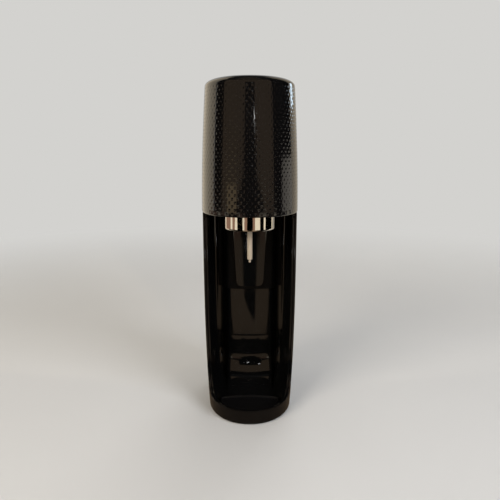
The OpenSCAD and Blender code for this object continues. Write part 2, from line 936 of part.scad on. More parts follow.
module button_hinge_pin() color(steel) {
    along_x(hinge_y, hinge_z, -hinge_ear_x1 - hinge_pin_out, hinge_ear_x1 + hinge_pin_out, hinge_r);
}

// Gas valve

module plunger() color(steel) {
    upright(0, cyl_y, plunger_z0, plunger_z1, plunger_r);
    upright(0, cyl_y, plunger_z1 - plunger_head_h, plunger_z1, plunger_head_r);
}

module plunger_spring() color(steel) {
    free = plunger_z1 - plunger_head_h - deck_z1 - 2 * gap;
    translate([0, cyl_y, deck_z1 + gap]) coil(plunger_r + spring_play, spring_wire, spring_turns, free);
}

module plunger_seal() color(rubber) {
    washer(cyl_y, deck_z0 - seal_h, deck_z0 - gap, plunger_r + 2 * fit, seal_r);
}

module valve_block() color(brass) {
    difference() {
        box([-block_w / 2, cyl_y - block_d / 2, block_z0], [block_w / 2, cyl_y + block_d / 2, deck_z0]);
        upright(0, cyl_y, block_z0 - 1, socket_z1, socket_r + fit);
        upright(0, cyl_y, socket_z1 - 1, chamber_z1, thread_r + 2 * fit);
        upright(0, cyl_y, block_z0, body_h, plunger_r + 2 * fit);
        upright(0, cyl_y, deck_z0 - seal_h, body_h, seal_r + fit);
        both_sides()
            upright(block_screw_x, cyl_y, deck_z0 - block_screw_h, body_h, block_screw_r + screw_fit);
    }
}

module cylinder_socket() color(brass) {
    washer(cyl_y, socket_z0, socket_z1, thread_r + 2 * fit, socket_r);
}

module socket_seal() color(rubber) {
    washer(cyl_y, valve_top_z + gap, chamber_z1, plunger_r + socket_seal_in, thread_r);
}

module block_screws() color(steel) {
    both_sides() {
        upright(block_screw_x, cyl_y, deck_z0 - block_screw_h + root_in, deck_z1 + root_in, block_screw_r);
        upright(block_screw_x, cyl_y, deck_z1, deck_z1 + block_screw_r, 2 * block_screw_r);
    }
}

hex_r = 6;
hex_h = 5;
relief_r = 4.5;
relief_len = 12;

module hex_along_x(x0, h) {
    translate([x0, cyl_y, port_z]) rotate([0, 90, 0]) cylinder(r = hex_r, h = h, $fn = 6);
}

module relief_valve() color(brass) {
    side = -block_w / 2;
    hex_along_x(side - hex_h, hex_h);
    along_x(cyl_y, port_z, side - relief_len, side - hex_h + root_in, relief_r);
}

module burst_plug() color(brass) {
    hex_along_x(block_w / 2, hex_h);
}

fitting_nut_r = 7;
fitting_nut_h = 4;
fitting_r = 4;
fitting_len = 9;
fitting_y1 = cyl_y - block_d / 2;
fitting_y0 = fitting_y1 - fitting_len;

module block_fitting() color(brass) {
    translate([0, fitting_y1, port_z]) rotate([90, 0, 0])
        cylinder(r = fitting_nut_r, h = fitting_nut_h, $fn = 6);
    along_y(0, port_z, fitting_y0, fitting_y1 - fitting_nut_h + root_in, fitting_r);
}

// Route of the gas hose from the block fitting to the swivel fitting
swivel_x = (swivel_x0 + swivel_x1) / 2;
hose_start = [0, fitting_y0 - gap, port_z];
hose_end = [swivel_x, pivot_y, swivel_z1 + gap];
hose_route = [
    hose_start,
    hose_start + [0, -10, 0],
    hose_start + [3, -20, -4],
    hose_start + [11, -30, -16],
    hose_end + [-4, 1, 14],
    hose_end + [0, 0, 5],
    hose_end,
];
hose_steps = 4;
hose_sides = 8;

function route_at(p, i) = p[min(len(p) - 1, max(0, i))];

// Point of a smooth curve through the route, at whole number i plus share u
function bend(p, i, u) =
    let (a = route_at(p, i - 1), b = route_at(p, i), c = route_at(p, i + 1), d = route_at(p, i + 2))
    0.5 * (2 * b + (c - a) * u + (2 * a - 5 * b + 4 * c - d) * u * u + (3 * b - a - 3 * c + d) * u * u * u);

module gas_hose() color(nylon) {
    line = [
        for (i = [0:len(hose_route) - 2]) for (k = [0:hose_steps - 1]) bend(hose_route, i, k / hose_steps),
        hose_end,
    ];
    last = len(line) - 1;
    skin([
        for (i = [0:last])
            let (
                way = i == 0 ? [0, -1, 0] : i == last ? [0, 0, -1] : line[i + 1] - line[i - 1],
                t = way / norm(way),
                u = cross(t, [1, 0, 0]) / norm(cross(t, [1, 0, 0])),
                v = cross(t, u)
            )
                [
                    for (k = [0:hose_sides - 1])
                        let (a = 360 * k / hose_sides) line[i] + hose_r * (cos(a) * u + sin(a) * v)
                ]
    ]);
}

module swivel_fitting() color(brass) {
    difference() {
        union() {
            along_x(pivot_y, pivot_z, swivel_x0, swivel_x1, swivel_r);
            upright(swivel_x, pivot_y, pivot_z, swivel_z1, hose_r);
        }
        along_x(pivot_y, pivot_z, swivel_x0 - 1, swivel_x1 + 1, pivot_r + fit / 2);
    }
}

// Gas cylinder

module gas_cylinder() color(alloy) {
    shoulder = neck_z - dome_rise - cyl_neck_h;
    neck_root_z = neck_z - cyl_neck_h;
    foot_z = cyl_z0 + cyl_foot_up;
    dome = [
        for (a = [0:15:75])
            [neck_r + (cyl_r - neck_r) * cos(a), shoulder + dome_rise * sin(a)]
    ];
    inside = [
        for (a = [75:-15:0])
            [neck_bore_r + (cyl_r - cyl_t - neck_bore_r) * cos(a), shoulder + (dome_rise - cyl_t) * sin(a)]
    ];
    translate([0, cyl_y, 0]) rotate_extrude() polygon(concat(
        [
            [0, foot_z], [cyl_r - cyl_foot_in, cyl_z0],
            [cyl_r - cyl_foot_round, cyl_z0], [cyl_r, cyl_z0 + cyl_foot_round],
        ],
        dome,
        [
            [neck_r, neck_root_z + cyl_blend], [neck_r, neck_z],
            [neck_bore_r, neck_z], [neck_bore_r, neck_root_z - 2 * cyl_blend],
        ],
        inside,
        [[cyl_r - cyl_t, cyl_z0 + cyl_foot_core], [cyl_r - cyl_foot_in, foot_z + cyl_t], [0, foot_z + cyl_t]]
    ));
}

module cylinder_valve() color(brass) {
    pin_hole_z = valve_top_z + pin_out - pin_len - pin_room;
    translate([0, cyl_y, 0]) difference() {
        rotate_extrude() polygon([
            [0, neck_z - cyl_neck_h], [neck_bore_r - fit, neck_z - cyl_neck_h], [neck_bore_r - fit, neck_z],
            [valve_body_r, neck_z], [valve_body_r, neck_z + valve_body_h - valve_taper],
            [thread_r, neck_z + valve_body_h], [thread_r, valve_top_z - thread_lead],
            [thread_r - thread_lead, valve_top_z],
            [0, valve_top_z],
        ]);
        upright(0, 0, pin_hole_z, body_h, pin_r + 2 * fit);
    }
}

module valve_pin() color(steel) {
    upright(0, cyl_y, valve_top_z + pin_out - pin_len, valve_top_z + pin_out, pin_r);
}

cradle_h = 12;
cradle_t = 3;
cradle_play = 0.5;
cradle_open = 10;
pad_w = 11;
pad_edge = 1;

// Open to the rear, where the cylinder goes in
module cylinder_cradle() color(nylon) {
    difference() {
        washer(cyl_y, base_z1, base_z1 + cradle_h, cyl_r + cradle_play, cyl_r + cradle_play + cradle_t);
        box([-body_w, cyl_y + cradle_open, 0], [body_w, body_d, body_h]);
    }
}

module cradle_pad() color(rubber) {
    washer(cyl_y, base_z1, base_z1 + pad_t, cyl_r - pad_edge - pad_w, cyl_r - pad_edge);
}

// Bottle holder

module holder_carriage() color(inner_black) {
    ear = [
        [collar_y - ear_front, disc_z0], [pivot_y + ear_rear, disc_z0],
        [pivot_y + ear_top, pivot_z], [pivot_y - ear_top, pivot_z],
    ];
    difference() {
        union() {
            upright(0, collar_y, collar_z0 + cup_up, disc_z0 + root_in, cup_r);
            upright(0, collar_y, disc_z0, disc_z1, collar_r);
            box([-web_x, collar_y + collar_r - web_in, disc_z0], [web_x, shield_edge_y, disc_z1]);
            both_sides() {
                translate([ear_x0, 0, 0]) rotate([90, 0, 90]) linear_extrude(ear_x1 - ear_x0) polygon(ear);
                along_x(pivot_y, pivot_z, ear_x0, ear_x1, hub_r);
            }
        }
        upright(0, collar_y, 0, disc_z0, mouth_r);
        upright(0, collar_y, 0, body_h, nozzle_r + fit);
        upright(0, bow_y, 0, body_h, shield_out + gap);
        along_x(pivot_y, pivot_z, -body_w, body_w, pivot_r + fit);
    }
}

module collar_ring() color(chrome) {
    r_in = collar_r - collar_t;
    top_z = disc_z0 - gap;
    corner = [
        for (a = [-90:15:0])
            [collar_r, collar_z0 + collar_round] + collar_round * [cos(a) - 1, sin(a)]
    ];
    translate([0, collar_y, 0]) rotate_extrude($fn = 96) polygon(concat(
        [[r_in, top_z], [r_in, collar_z0 + collar_chamfer], [r_in + collar_chamfer, collar_z0]],
        corner,
        [[collar_r, top_z]]
    ));
}

module bottle_seal() color(rubber) {
    washer(collar_y, disc_z0 - bottle_seal_h, disc_z0 - gap, nozzle_r + bottle_seal_in, mouth_r - gap);
}

module nozzle_tube() color(cream) {
    upright(0, collar_y, nozzle_z0 + tip_h, disc_z1 + nozzle_up, nozzle_r);
}

module nozzle_tip() color(cream) {
    cone_z = nozzle_z0 + tip_h - tip_cone;
    ball_z = nozzle_z0 + tip_ball_r;
    translate([0, collar_y, cone_z]) cylinder(r1 = tip_r, r2 = nozzle_r, h = tip_cone);
    upright(0, collar_y, ball_z, cone_z + tip_cone / 2, tip_r);
    translate([0, collar_y, ball_z]) sphere(r = tip_ball_r);
}

module nozzle_nut() color(brass) {
    difference() {
        translate([0, collar_y, disc_z1]) cylinder(r = nozzle_r + nut_w, h = nut_h, $fn = 6);
        upright(0, collar_y, disc_z1 - 1, body_h, nozzle_r + fit);
    }
}

// Bowed round the same axis as the front of the column behind it
module rear_shield() color(gloss_black) {
    end_x = shield_end_w / 2;
    corner = [
        for (a = [-90:10:0])
            [end_x, shield_z0 + shield_corner] + shield_corner * [cos(a) - 1, sin(a)]
    ];
    right = concat(corner, [[shield_w / 2, collar_z0 - shield_straight], [shield_w / 2, disc_z1]]);
    outline = concat(right, [for (p = reversed(right)) [-p.x, p.y]]);
    intersection() {
        washer(bow_y, shield_z0, disc_z1, shield_in, shield_out);
        translate([0, cyl_y, 0]) rotate([90, 0, 0]) linear_extrude(body_d) polygon(outline);
    }
}

module pivot_pins() color(steel) {
    head_x = cheek_x1 + gap;
    along_x(pivot_y, pivot_z, swivel_x0, head_x + root_in, pivot_r);
    along_x(pivot_y, pivot_z, -head_x - root_in, -ear_x0 + root_in, pivot_r);
    both_sides() along_x(pivot_y, pivot_z, head_x, head_x + pin_head_h, pivot_r + pin_head_w);
}

head_cover();
body_shell();
cavity_liner();
cavity_bowl();
back_panel();
drip_tray();
base_plate();
rubber_feet();
base_screws();
head_under_plate();
head_frame();
frame_screws();
top_button();
press_lever();
button_hinge_pin();
plunger();
plunger_spring();
plunger_seal();
valve_block();
cylinder_socket();
socket_seal();
block_screws();
relief_valve();
burst_plug();
block_fitting();
gas_hose();
swivel_fitting();
gas_cylinder();
cylinder_valve();
valve_pin();
cylinder_cradle();
cradle_pad();
holder_carriage();
collar_ring();
bottle_seal();
nozzle_tube();
nozzle_tip();
nozzle_nut();
rear_shield();
pivot_pins();
rear_cover();
cover_latch();
latch_spring();
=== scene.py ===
"""Looks of a tall press-top sparkling water maker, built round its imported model.

Shapes are worked out in millimetres in the model's own frame and scaled to metres when a piece is made.
"""

import bisect
import json
import math

import bmesh
import bpy
from mathutils import Matrix, Vector


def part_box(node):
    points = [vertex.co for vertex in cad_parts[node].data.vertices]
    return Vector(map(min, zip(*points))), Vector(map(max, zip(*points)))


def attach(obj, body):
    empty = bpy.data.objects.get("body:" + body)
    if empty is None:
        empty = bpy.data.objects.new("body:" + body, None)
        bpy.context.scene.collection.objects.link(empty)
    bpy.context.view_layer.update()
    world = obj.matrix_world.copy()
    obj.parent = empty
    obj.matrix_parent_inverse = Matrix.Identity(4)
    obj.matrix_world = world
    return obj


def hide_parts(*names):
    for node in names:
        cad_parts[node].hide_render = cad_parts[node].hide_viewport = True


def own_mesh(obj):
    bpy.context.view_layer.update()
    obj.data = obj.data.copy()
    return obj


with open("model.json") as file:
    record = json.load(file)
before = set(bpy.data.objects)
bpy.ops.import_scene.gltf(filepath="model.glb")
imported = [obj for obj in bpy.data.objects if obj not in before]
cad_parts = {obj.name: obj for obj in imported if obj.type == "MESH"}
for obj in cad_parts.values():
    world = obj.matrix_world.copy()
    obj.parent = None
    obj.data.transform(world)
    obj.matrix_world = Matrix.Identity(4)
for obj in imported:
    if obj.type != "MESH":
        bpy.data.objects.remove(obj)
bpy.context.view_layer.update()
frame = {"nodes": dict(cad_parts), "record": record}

MM = 0.001


def node_box(node):
    """Lowest and highest corner of a CAD node, in millimetres."""
    low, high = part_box(node)
    return low / MM, high / MM


body_of = {n: body for body, nodes in frame["record"]["behaviour"]["bodies"].items() for n in nodes}
slot_of = {part["node"]: part["material_slot"] for part in frame["record"]["subparts"]}

# Sizes read from the frame
head_low, head_high = node_box("head_cover")
shell_low, shell_high = node_box("body_shell")
liner_low, liner_high = node_box("cavity_liner")
bowl_high = node_box("cavity_bowl")[1]
cover_low, cover_high = node_box("rear_cover")
button_low, button_high = node_box("top_button")
panel_low, panel_high = node_box("back_panel")
shield_low, shield_high = node_box("rear_shield")
collar_low, collar_high = node_box("collar_ring")
tray_low, tray_high = node_box("drip_tray")
cylinder_low, cylinder_high = node_box("gas_cylinder")
latch_low, latch_high = node_box("cover_latch")

BODY_W = head_high.x - head_low.x
HALF_W = BODY_W / 2
FRONT_Y = head_low.y
REAR_Y = -FRONT_Y
HEAD_Z = head_low.z
CYLINDER_Y = (cylinder_low.y + cylinder_high.y) / 2
CYLINDER_R = cylinder_high.x
COLLAR_Y = (collar_low.y + collar_high.y) / 2
COLLAR_R = collar_high.x

# Plan and side curves of the outer shells
FRONT_BOW = 76
REAR_BOW = REAR_Y - FRONT_Y - FRONT_BOW
WIDE_Y = FRONT_Y + FRONT_BOW
FRONT_N = 2.1
REAR_N = 3
DEPTH_DRAW = 0.6
HEAD_POWER = 1.7
BODY_POWER = 3.2
HEAD_TOP_W = 112
BASE_W = 111
SEAM_STEP = 0.8
SHOULDER_W = 15
SHOULDER_H = 8
SHOULDER_Z = head_high.z - SHOULDER_H
WALL = 2.6

# Front opening, rear seam and base band
RIM_Z = 19
OPENING_D = 59
EDGE_Y = FRONT_Y + OPENING_D
EDGE_R = 26
COVER_D = 49
SEAM_Y = REAR_Y - COVER_D
COVER_TOP_DROP = 30
COVER_TOP_Z = button_high.z - COVER_TOP_DROP
BASE_BAND_Z = 13.5
SEAM_GAP = 1.6
NECK_IN = 2.1
NECK_T = 1.2
NECK_ROOT = 3

# Cavity
LINER_IN = 5.5
LINER_T = 2
LINER_RIM_DROP = 0.8
FLOOR_Z = 8.5
FLOOR_R = 40
FLOOR_BACK = 9
FLOOR_SPREAD = 0.45
BOWL_H = 46
RIM_BOWL_H = 8
BOWL_LEAD = 5
CYLINDER_ROOM = 2
COLUMN_R = CYLINDER_R + CYLINDER_ROOM + LINER_T
WING_D = 14
WING_R = 8
CORNER_R = 6
WING_Y = CYLINDER_Y - WING_D
WING_X = COLUMN_R + WING_R
COLUMN_Y = CYLINDER_Y - COLUMN_R
BOW_R = 150
BOW_Y = COLUMN_Y + BOW_R
COLUMN_CORNER = 6.5
TURN_X = COLUMN_R - COLUMN_CORNER
TURN_CENTRE_Y = BOW_Y - math.sqrt((BOW_R - COLUMN_CORNER) ** 2 - TURN_X**2)
TURN_SWEEP = math.degrees(math.atan2(TURN_CENTRE_Y - BOW_Y, TURN_X))
TURN_Y = WING_Y - CORNER_R
GAP = 0.3

# Rounding of moulded edges, and how near two places count as the same
EDGE_ROUND = 0.5
NEAR = 0.01
MERGE = 0.002


def mix(a, b, share):
    return a + (b - a) * share


def ease(value):
    share = min(1.0, max(0.0, value))
    return share * share * (3 - 2 * share)


def along(values, place):
    """Value at a fractional place in a list."""
    i = max(0, min(int(place), len(values) - 2))
    return mix(values[i], values[i + 1], place - i)


# Outline curves of the shells


def head_half(z):
    share = max(0.0, z - HEAD_Z) / (SHOULDER_Z - HEAD_Z)
    return HALF_W - (BODY_W - HEAD_TOP_W) / 2 * share**HEAD_POWER


def body_half(z):
    top = HALF_W - SEAM_STEP
    return top - (top - BASE_W / 2) * (max(0.0, HEAD_Z - z) / HEAD_Z) ** BODY_POWER


def cover_half(z):
    if z > HEAD_Z:
        return head_half(z)
    return HALF_W - (BODY_W - BASE_W) / 2 * ((HEAD_Z - z) / HEAD_Z) ** BODY_POWER


def bow(front, half, inset):
    """How far a plan curve stands ahead of, or behind, its widest place."""
    full = FRONT_BOW if front else REAR_BOW
    return full - DEPTH_DRAW * (HALF_W - half) - inset


def lobe(value, n):
    return math.copysign(abs(value) ** (2 / n), value)


def plan_point(turn, half, inset):
    """Point of a plan curve at an angle in degrees, where -90 is the front and 90 the rear."""
    angle = math.radians(turn)
    front = turn < 0
    n = FRONT_N if front else REAR_N
    x = (half - inset) * lobe(math.cos(angle), n)
    return x, WIDE_Y + bow(front, half, inset) * lobe(math.sin(angle), n)


def plan_angle(y, half, inset):
    """Angle at which a plan curve crosses the line y."""
    front = y < WIDE_Y
    n = FRONT_N if front else REAR_N
    share = min(1.0, abs(y - WIDE_Y) / bow(front, half, inset))
    angle = math.degrees(math.asin(share ** (n / 2)))
    return -angle if front else angle


def plan_run(start, end, half):
    """Angles at fine steps along the plan curve, and the length of the curve up to each of them."""
    fine = 600
    turns = [mix(start, end, i / fine) for i in range(fine + 1)]
    points = [Vector(plan_point(t, half, 0)) for t in turns]
    run = [0.0]
    for a, b in zip(points, points[1:]):
        run.append(run[-1] + (b - a).length)
    return turns, run


def even_turns(start, end, count, half):
    """Angles from start to end whose points lie at even steps along the plan curve."""
    turns, run = plan_run(start, end, half)
    found = []
    for i in range(count + 1):
        goal = run[-1] * i / count
        k = min(len(run) - 1, max(1, bisect.bisect_left(run, goal)))
        found.append(mix(turns[k - 1], turns[k], (goal - run[k - 1]) / (run[k] - run[k - 1])))
    return found


def station_turn(station, half, inset):
    """Angle of a station: where the plan crosses y, moved on by a share of the way to the angle end."""
    y, share, end = station
    start = plan_angle(y, half, inset)
    return mix(start, end, share)


# Tools for sheets, turned pieces and blocks

# A thickened sheet has its front at z = 0 and its back at z = -1
MID_SHEET = -0.5


def sheet(columns, rows):
    """Flat sheet whose corners are whole numbers: x counts columns and y counts rows."""
    bm = bmesh.new()
    bmesh.ops.create_grid(bm, x_segments=columns, y_segments=rows, size=0.5)
    bmesh.ops.translate(bm, verts=bm.verts, vec=(0.5, 0.5, 0))
    bmesh.ops.scale(bm, verts=bm.verts, vec=(columns, rows, 1))
    return bm


def cell(face):
    """Column and row of a face of a flat sheet."""
    centre = face.calc_center_median()
    return math.floor(centre.x), math.floor(centre.y)


def drop_cells(bm, unwanted):
    gone = [f for f in bm.faces if unwanted(*cell(f))]
    bmesh.ops.delete(bm, geom=gone, context="FACES")


def thicken(bm, open_ends=None):
    """Gives a flat sheet a back at z = -1. Between columns that meet when it is bent, no wall is left."""
    bmesh.ops.solidify(bm, geom=bm.faces[:], thickness=1)
    if open_ends:
        ends = [f for f in bm.faces if len({round(v.co.x, 3) for v in f.verts}) == 1]
        walls = [f for f in ends if round(f.verts[0].co.x) in open_ends]
        bmesh.ops.delete(bm, geom=walls, context="FACES")


def close_seams(bm):
    """Joins points that meet and turns the faces outwards."""
    bmesh.ops.remove_doubles(bm, verts=bm.verts, dist=MERGE)
    bmesh.ops.recalc_face_normals(bm, faces=bm.faces)


def fill_rims(bm):
    """Fills the open rims of a mesh and turns its faces outwards."""
    rims = [e for e in bm.edges if e.is_boundary]
    bmesh.ops.holes_fill(bm, edges=rims, sides=0)
    bmesh.ops.recalc_face_normals(bm, faces=bm.faces)


def bend(bm, place):
    """Moves each point of a flat sheet to its place on the object and closes the seams."""
    for vert in bm.verts:
        vert.co = place(*vert.co)
    close_seams(bm)


def bevel(bm, edges, width, segments):
    """Rounds edges to a width."""
    bmesh.ops.bevel(
        bm,
        geom=edges,
        offset=width,
        offset_type="OFFSET",
        segments=segments,
        profile=0.5,
        affect="EDGES",
        clamp_overlap=True,
        material=-1,
    )


def round_edges(bm, width, segments=2, angle=50):
    """Rounds every edge that is sharper than an angle in degrees."""
    limit = math.radians(angle)
    bevel(bm, [e for e in bm.edges if e.is_manifold and e.calc_face_angle(0) > limit], width, segments)


def lathe(profile, y=0.0, x=0.0, steps=96, closed=True):
    """Round piece about an upright axis, from the (radius, height) points of its outline."""
    bm = bmesh.new()
    verts = [bm.verts.new((x + r, y, z)) for r, z in profile]
    ends = verts[1:] + verts[:1] if closed else verts[1:]
    edges = [bm.edges.new(pair) for pair in zip(verts, ends)]
    bmesh.ops.spin(
        bm,
        geom=verts + edges,
        cent=(x, y, 0),
        axis=(0, 0, 1),
        angle=math.tau,
        steps=steps,
        use_merge=True,
    )
    close_seams(bm)
    return bm


def block(low, high, edge=0.4):
    """Moulded block with rounded edges."""
    bm = bmesh.new()
    bmesh.ops.create_cube(bm, size=1)
    size = [b - a for a, b in zip(low, high)]
    centre = [(a + b) / 2 for a, b in zip(low, high)]
    bmesh.ops.scale(bm, verts=bm.verts, vec=size)
    bmesh.ops.translate(bm, verts=bm.verts, vec=centre)
    round_edges(bm, edge)
    return bm


def join(bm, *others):
    """Adds the shells of other meshes to a mesh."""
    for other in others:
        mesh = bpy.data.meshes.new("joined")
        other.to_mesh(mesh)
        other.free()
        bm.from_mesh(mesh)
        bpy.data.meshes.remove(mesh)
    return bm


def mesh_object(name, bm, material):
    """Object at the origin with a mesh and one material."""
    mesh = bpy.data.meshes.new(name)
    bm.to_mesh(mesh)
    bm.free()
    mesh.materials.append(material)
    made = bpy.data.objects.new(name, mesh)
    bpy.context.scene.collection.objects.link(made)
    return made


def make_piece(name, bm, material, *nodes, smooth=35):
    """Finishes a mesh as a piece that stands for CAD nodes and rides on their body."""
    bmesh.ops.scale(bm, verts=bm.verts, vec=(MM, MM, MM))
    limit = math.radians(smooth)
    for face in bm.faces:
        face.smooth = True
    for edge in bm.edges:
        edge.smooth = edge.calc_face_angle(0) < limit
    piece = mesh_object(name, bm, material)
    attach(piece, body_of[nodes[0]])
    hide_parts(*nodes)
    return piece


# Materials


def linear(hex_colour):
    """Linear colour of an sRGB hex value."""
    parts = [int(hex_colour[i : i + 2], 16) / 255 for i in (1, 3, 5)]
    return tuple(p / 12.92 if p <= 0.04045 else ((p + 0.055) / 1.055) ** 2.4 for p in parts) + (1.0,)


def add(tree, kind, inputs=None, **settings):
    """Adds a node with its settings. An input is a value or another node's output."""
    node = tree.nodes.new(kind)
    for name, value in settings.items():
        setattr(node, name, value)
    for name, value in (inputs or {}).items():
        if isinstance(value, bpy.types.NodeSocket):
            tree.links.new(value, node.inputs[name])
        else:
            node.inputs[name].default_value = value
    return node


def per_mm(size):
    """Texture scale at which one feature is that many millimetres wide."""
    return 1 / (size * MM)


def new_material(name, **sockets):
    """Material with one Principled shader: returns it, its tree, the shader and the object coordinates."""
    material = bpy.data.materials.new(name)
    material.use_nodes = True
    tree = material.node_tree
    tree.nodes.clear()
    shader = add(tree, "ShaderNodeBsdfPrincipled", sockets)
    output = add(tree, "ShaderNodeOutputMaterial")
    tree.links.new(shader.outputs["BSDF"], output.inputs["Surface"])
    coords = add(tree, "ShaderNodeTexCoord")
    return material, tree, shader, coords.outputs["Object"]


def relief(tree, shader, gloss, rough, height, depth, span=(0.0, 1.0)):
    """Lets one pattern vary the roughness between two values, and another the height, in millimetres."""
    spread = add(
        tree,
        "ShaderNodeMapRange",
        {"Value": gloss, "From Min": span[0], "From Max": span[1], "To Min": rough[0], "To Max": rough[1]},
    )
    bump = add(tree, "ShaderNodeBump", {"Height": height, "Strength": 1.0, "Distance": depth * MM})
    tree.links.new(spread.outputs["Result"], shader.inputs["Roughness"])
    tree.links.new(bump.outputs["Normal"], shader.inputs["Normal"])


def moulded_abs(name, colour, rough, wave_depth):
    """Gloss moulded ABS: a clear mirror over a deep colour, slightly wavy, smudged by hands."""
    material, tree, shader, place = new_material(name, **{"Base Color": linear(colour), "IOR": 1.53})
    smudge = add(tree, "ShaderNodeTexNoise", {"Vector": place, "Scale": per_mm(26), "Detail": 5.0})
    wave = add(tree, "ShaderNodeTexNoise", {"Vector": place, "Scale": per_mm(24), "Detail": 1.0})
    relief(tree, shader, smudge.outputs["Fac"], rough, wave.outputs["Fac"], wave_depth, span=(0.42, 0.72))
    return material


def grained(name, colour, light, rough, grain, depth, **sockets):
    """Satin or matte moulding: a spark-eroded tool leaves a fine even grain that breaks up the light."""
    material, tree, shader, place = new_material(name, **{"IOR": 1.5, **sockets})
    grit = add(tree, "ShaderNodeTexNoise", {"Vector": place, "Scale": per_mm(grain), "Detail": 3.0})
    patch = add(tree, "ShaderNodeTexNoise", {"Vector": place, "Scale": per_mm(18), "Detail": 3.0})
    tint = add(
        tree,
        "ShaderNodeMix",
        {"Factor": patch.outputs["Fac"], "A": linear(colour), "B": linear(light)},
        data_type="RGBA",
    )
    tree.links.new(tint.outputs["Result"], shader.inputs["Base Color"])
    relief(tree, shader, grit.outputs["Fac"], (rough - 0.08, rough + 0.08), grit.outputs["Fac"], depth)
    return material


def turned_metal(name, colour, rough, line, depth):
    """Turned or drawn metal: fine tool lines run round it, so its light spreads across them."""
    material, tree, shader, place = new_material(name, **{"Base Color": linear(colour), "Metallic": 1.0})
    stretch = add(tree, "ShaderNodeMapping", {"Vector": place, "Scale": (0.15, 0.15, 1.0)})
    lines = add(
        tree,
        "ShaderNodeTexNoise",
        {"Vector": stretch.outputs["Vector"], "Scale": per_mm(line), "Detail": 2.0},
    )
    relief(tree, shader, lines.outputs["Fac"], (rough - 0.07, rough + 0.09), lines.outputs["Fac"], depth)
    return material


def polished_plating(name, colour):
    """Bright plating on a polished ring: a hard mirror with faint wipe marks and a slight wave."""
    material, tree, shader, place = new_material(name, **{"Base Color": linear(colour), "Metallic": 1.0})
    wipe = add(tree, "ShaderNodeTexNoise", {"Vector": place, "Scale": per_mm(7), "Detail": 6.0})
    wave = add(tree, "ShaderNodeTexNoise", {"Vector": place, "Scale": per_mm(10), "Detail": 1.0})
    relief(tree, shader, wipe.outputs["Fac"], (0.03, 0.12), wave.outputs["Fac"], 0.05, span=(0.4, 0.8))
    return material


gloss_abs = moulded_abs("gloss_black_abs", "#0C0B0B", (0.05, 0.13), 0.03)
liner_abs = moulded_abs("liner_black_abs", "#090909", (0.06, 0.16), 0.04)
tray_grain = grained(
    "satin_polypropylene", "#0A0A0B", "#0E0E0F", 0.45, 0.8, 0.02, **{"Specular IOR Level": 0.3}
)
panel_grain = grained(
    "matt_black_abs", "#060606", "#090909", 0.5, 0.6, 0.02, **{"Specular IOR Level": 0.2}
)
acetal = grained("cream_acetal", "#AC9C87", "#B8A995", 0.38, 0.7, 0.01)
plating = polished_plating("polished_chrome", "#CFCAC4")
turned_steel = turned_metal("turned_steel", "#A7A9AB", 0.28, 0.5, 0.01)
machined_brass = turned_metal("machined_brass", "#B5924C", 0.3, 0.6, 0.01)
drawn_alloy = turned_metal("drawn_aluminium", "#B2B4B6", 0.34, 0.4, 0.008)
foot_rubber = grained("moulded_rubber", "#171717", "#1E1E1E", 0.75, 0.6, 0.03)
hose_rubber = grained("extruded_hose", "#1D1D1F", "#242426", 0.55, 0.9, 0.02)
glass_nylon = grained("glass_filled_nylon", "#2B2B2D", "#353537", 0.6, 0.5, 0.03)

material_of_slot = {
    "gloss_black": gloss_abs,
    "inner_black": liner_abs,
    "tray_grey": tray_grain,
    "chrome": plating,
    "nozzle": acetal,
    "steel": turned_steel,
    "brass": machined_brass,
    "rubber": foot_rubber,
    "hose": hose_rubber,
    "nylon": glass_nylon,
    "alloy": drawn_alloy,
}

for node_name, node_object in frame["nodes"].items():
    node_object.data.materials.clear()
    node_object.data.materials.append(material_of_slot[slot_of[node_name]])


# Head cover: a sheet with staggered dimples, bent round the head

LIP_ROWS = [(0.0, 0.8), (0.25, 0.32), (0.7, 0.06), (1.5, 0.0)]
LIP_H = LIP_ROWS[-1][0]
DOT_SIDE_ROWS = 30
DOT_TOP_ROWS = 4
DOT_PITCH_X = 3.55
DOT_PITCH_Z = (COVER_TOP_Z - HEAD_Z - LIP_H) / DOT_SIDE_ROWS
DOT_RINGS = [(1.1, 0.0), (0.68, 0.14)]
DOT_FLOOR = 0.19
HALF_DOT_ROWS = 2 * (DOT_SIDE_ROWS + DOT_TOP_ROWS)


def head_rows():
    """Rows of the head's sheet as (height, shoulder angle, depth at the lip)."""
    rows = [(HEAD_Z + up, 0.0, depth) for up, depth in LIP_ROWS]
    rows += [(HEAD_Z + LIP_H + DOT_PITCH_Z / 2 * i, 0.0, 0.0) for i in range(1, HALF_DOT_ROWS + 1)]
    steps = 9
    rows += [(SHOULDER_Z, 90.0 * i / steps, 0.0) for i in range(steps + 1)]
    return rows


def head_stations():
    """Half the head's columns from the front to the rear, and the number of the seam's column."""
    seam = plan_angle(SEAM_Y, HALF_W, 0)
    counts = []
    for start, end in ((-90, seam), (seam, 90)):
        length = plan_run(start, end, HALF_W)[1][-1]
        counts.append(2 * round(length / DOT_PITCH_X) + 1)
    front, rear = counts
    stations = []
    for turn in even_turns(-90, seam, front, HALF_W):
        if turn < 0:
            stations.append((WIDE_Y, -turn / 90, -90))
        else:
            stations.append((plan_point(turn, HALF_W, 0)[1], 0, 90))
    for turn in even_turns(seam, 90, rear, HALF_W)[1:]:
        stations.append((SEAM_Y, (turn - seam) / (90 - seam), 90))
    return stations, front


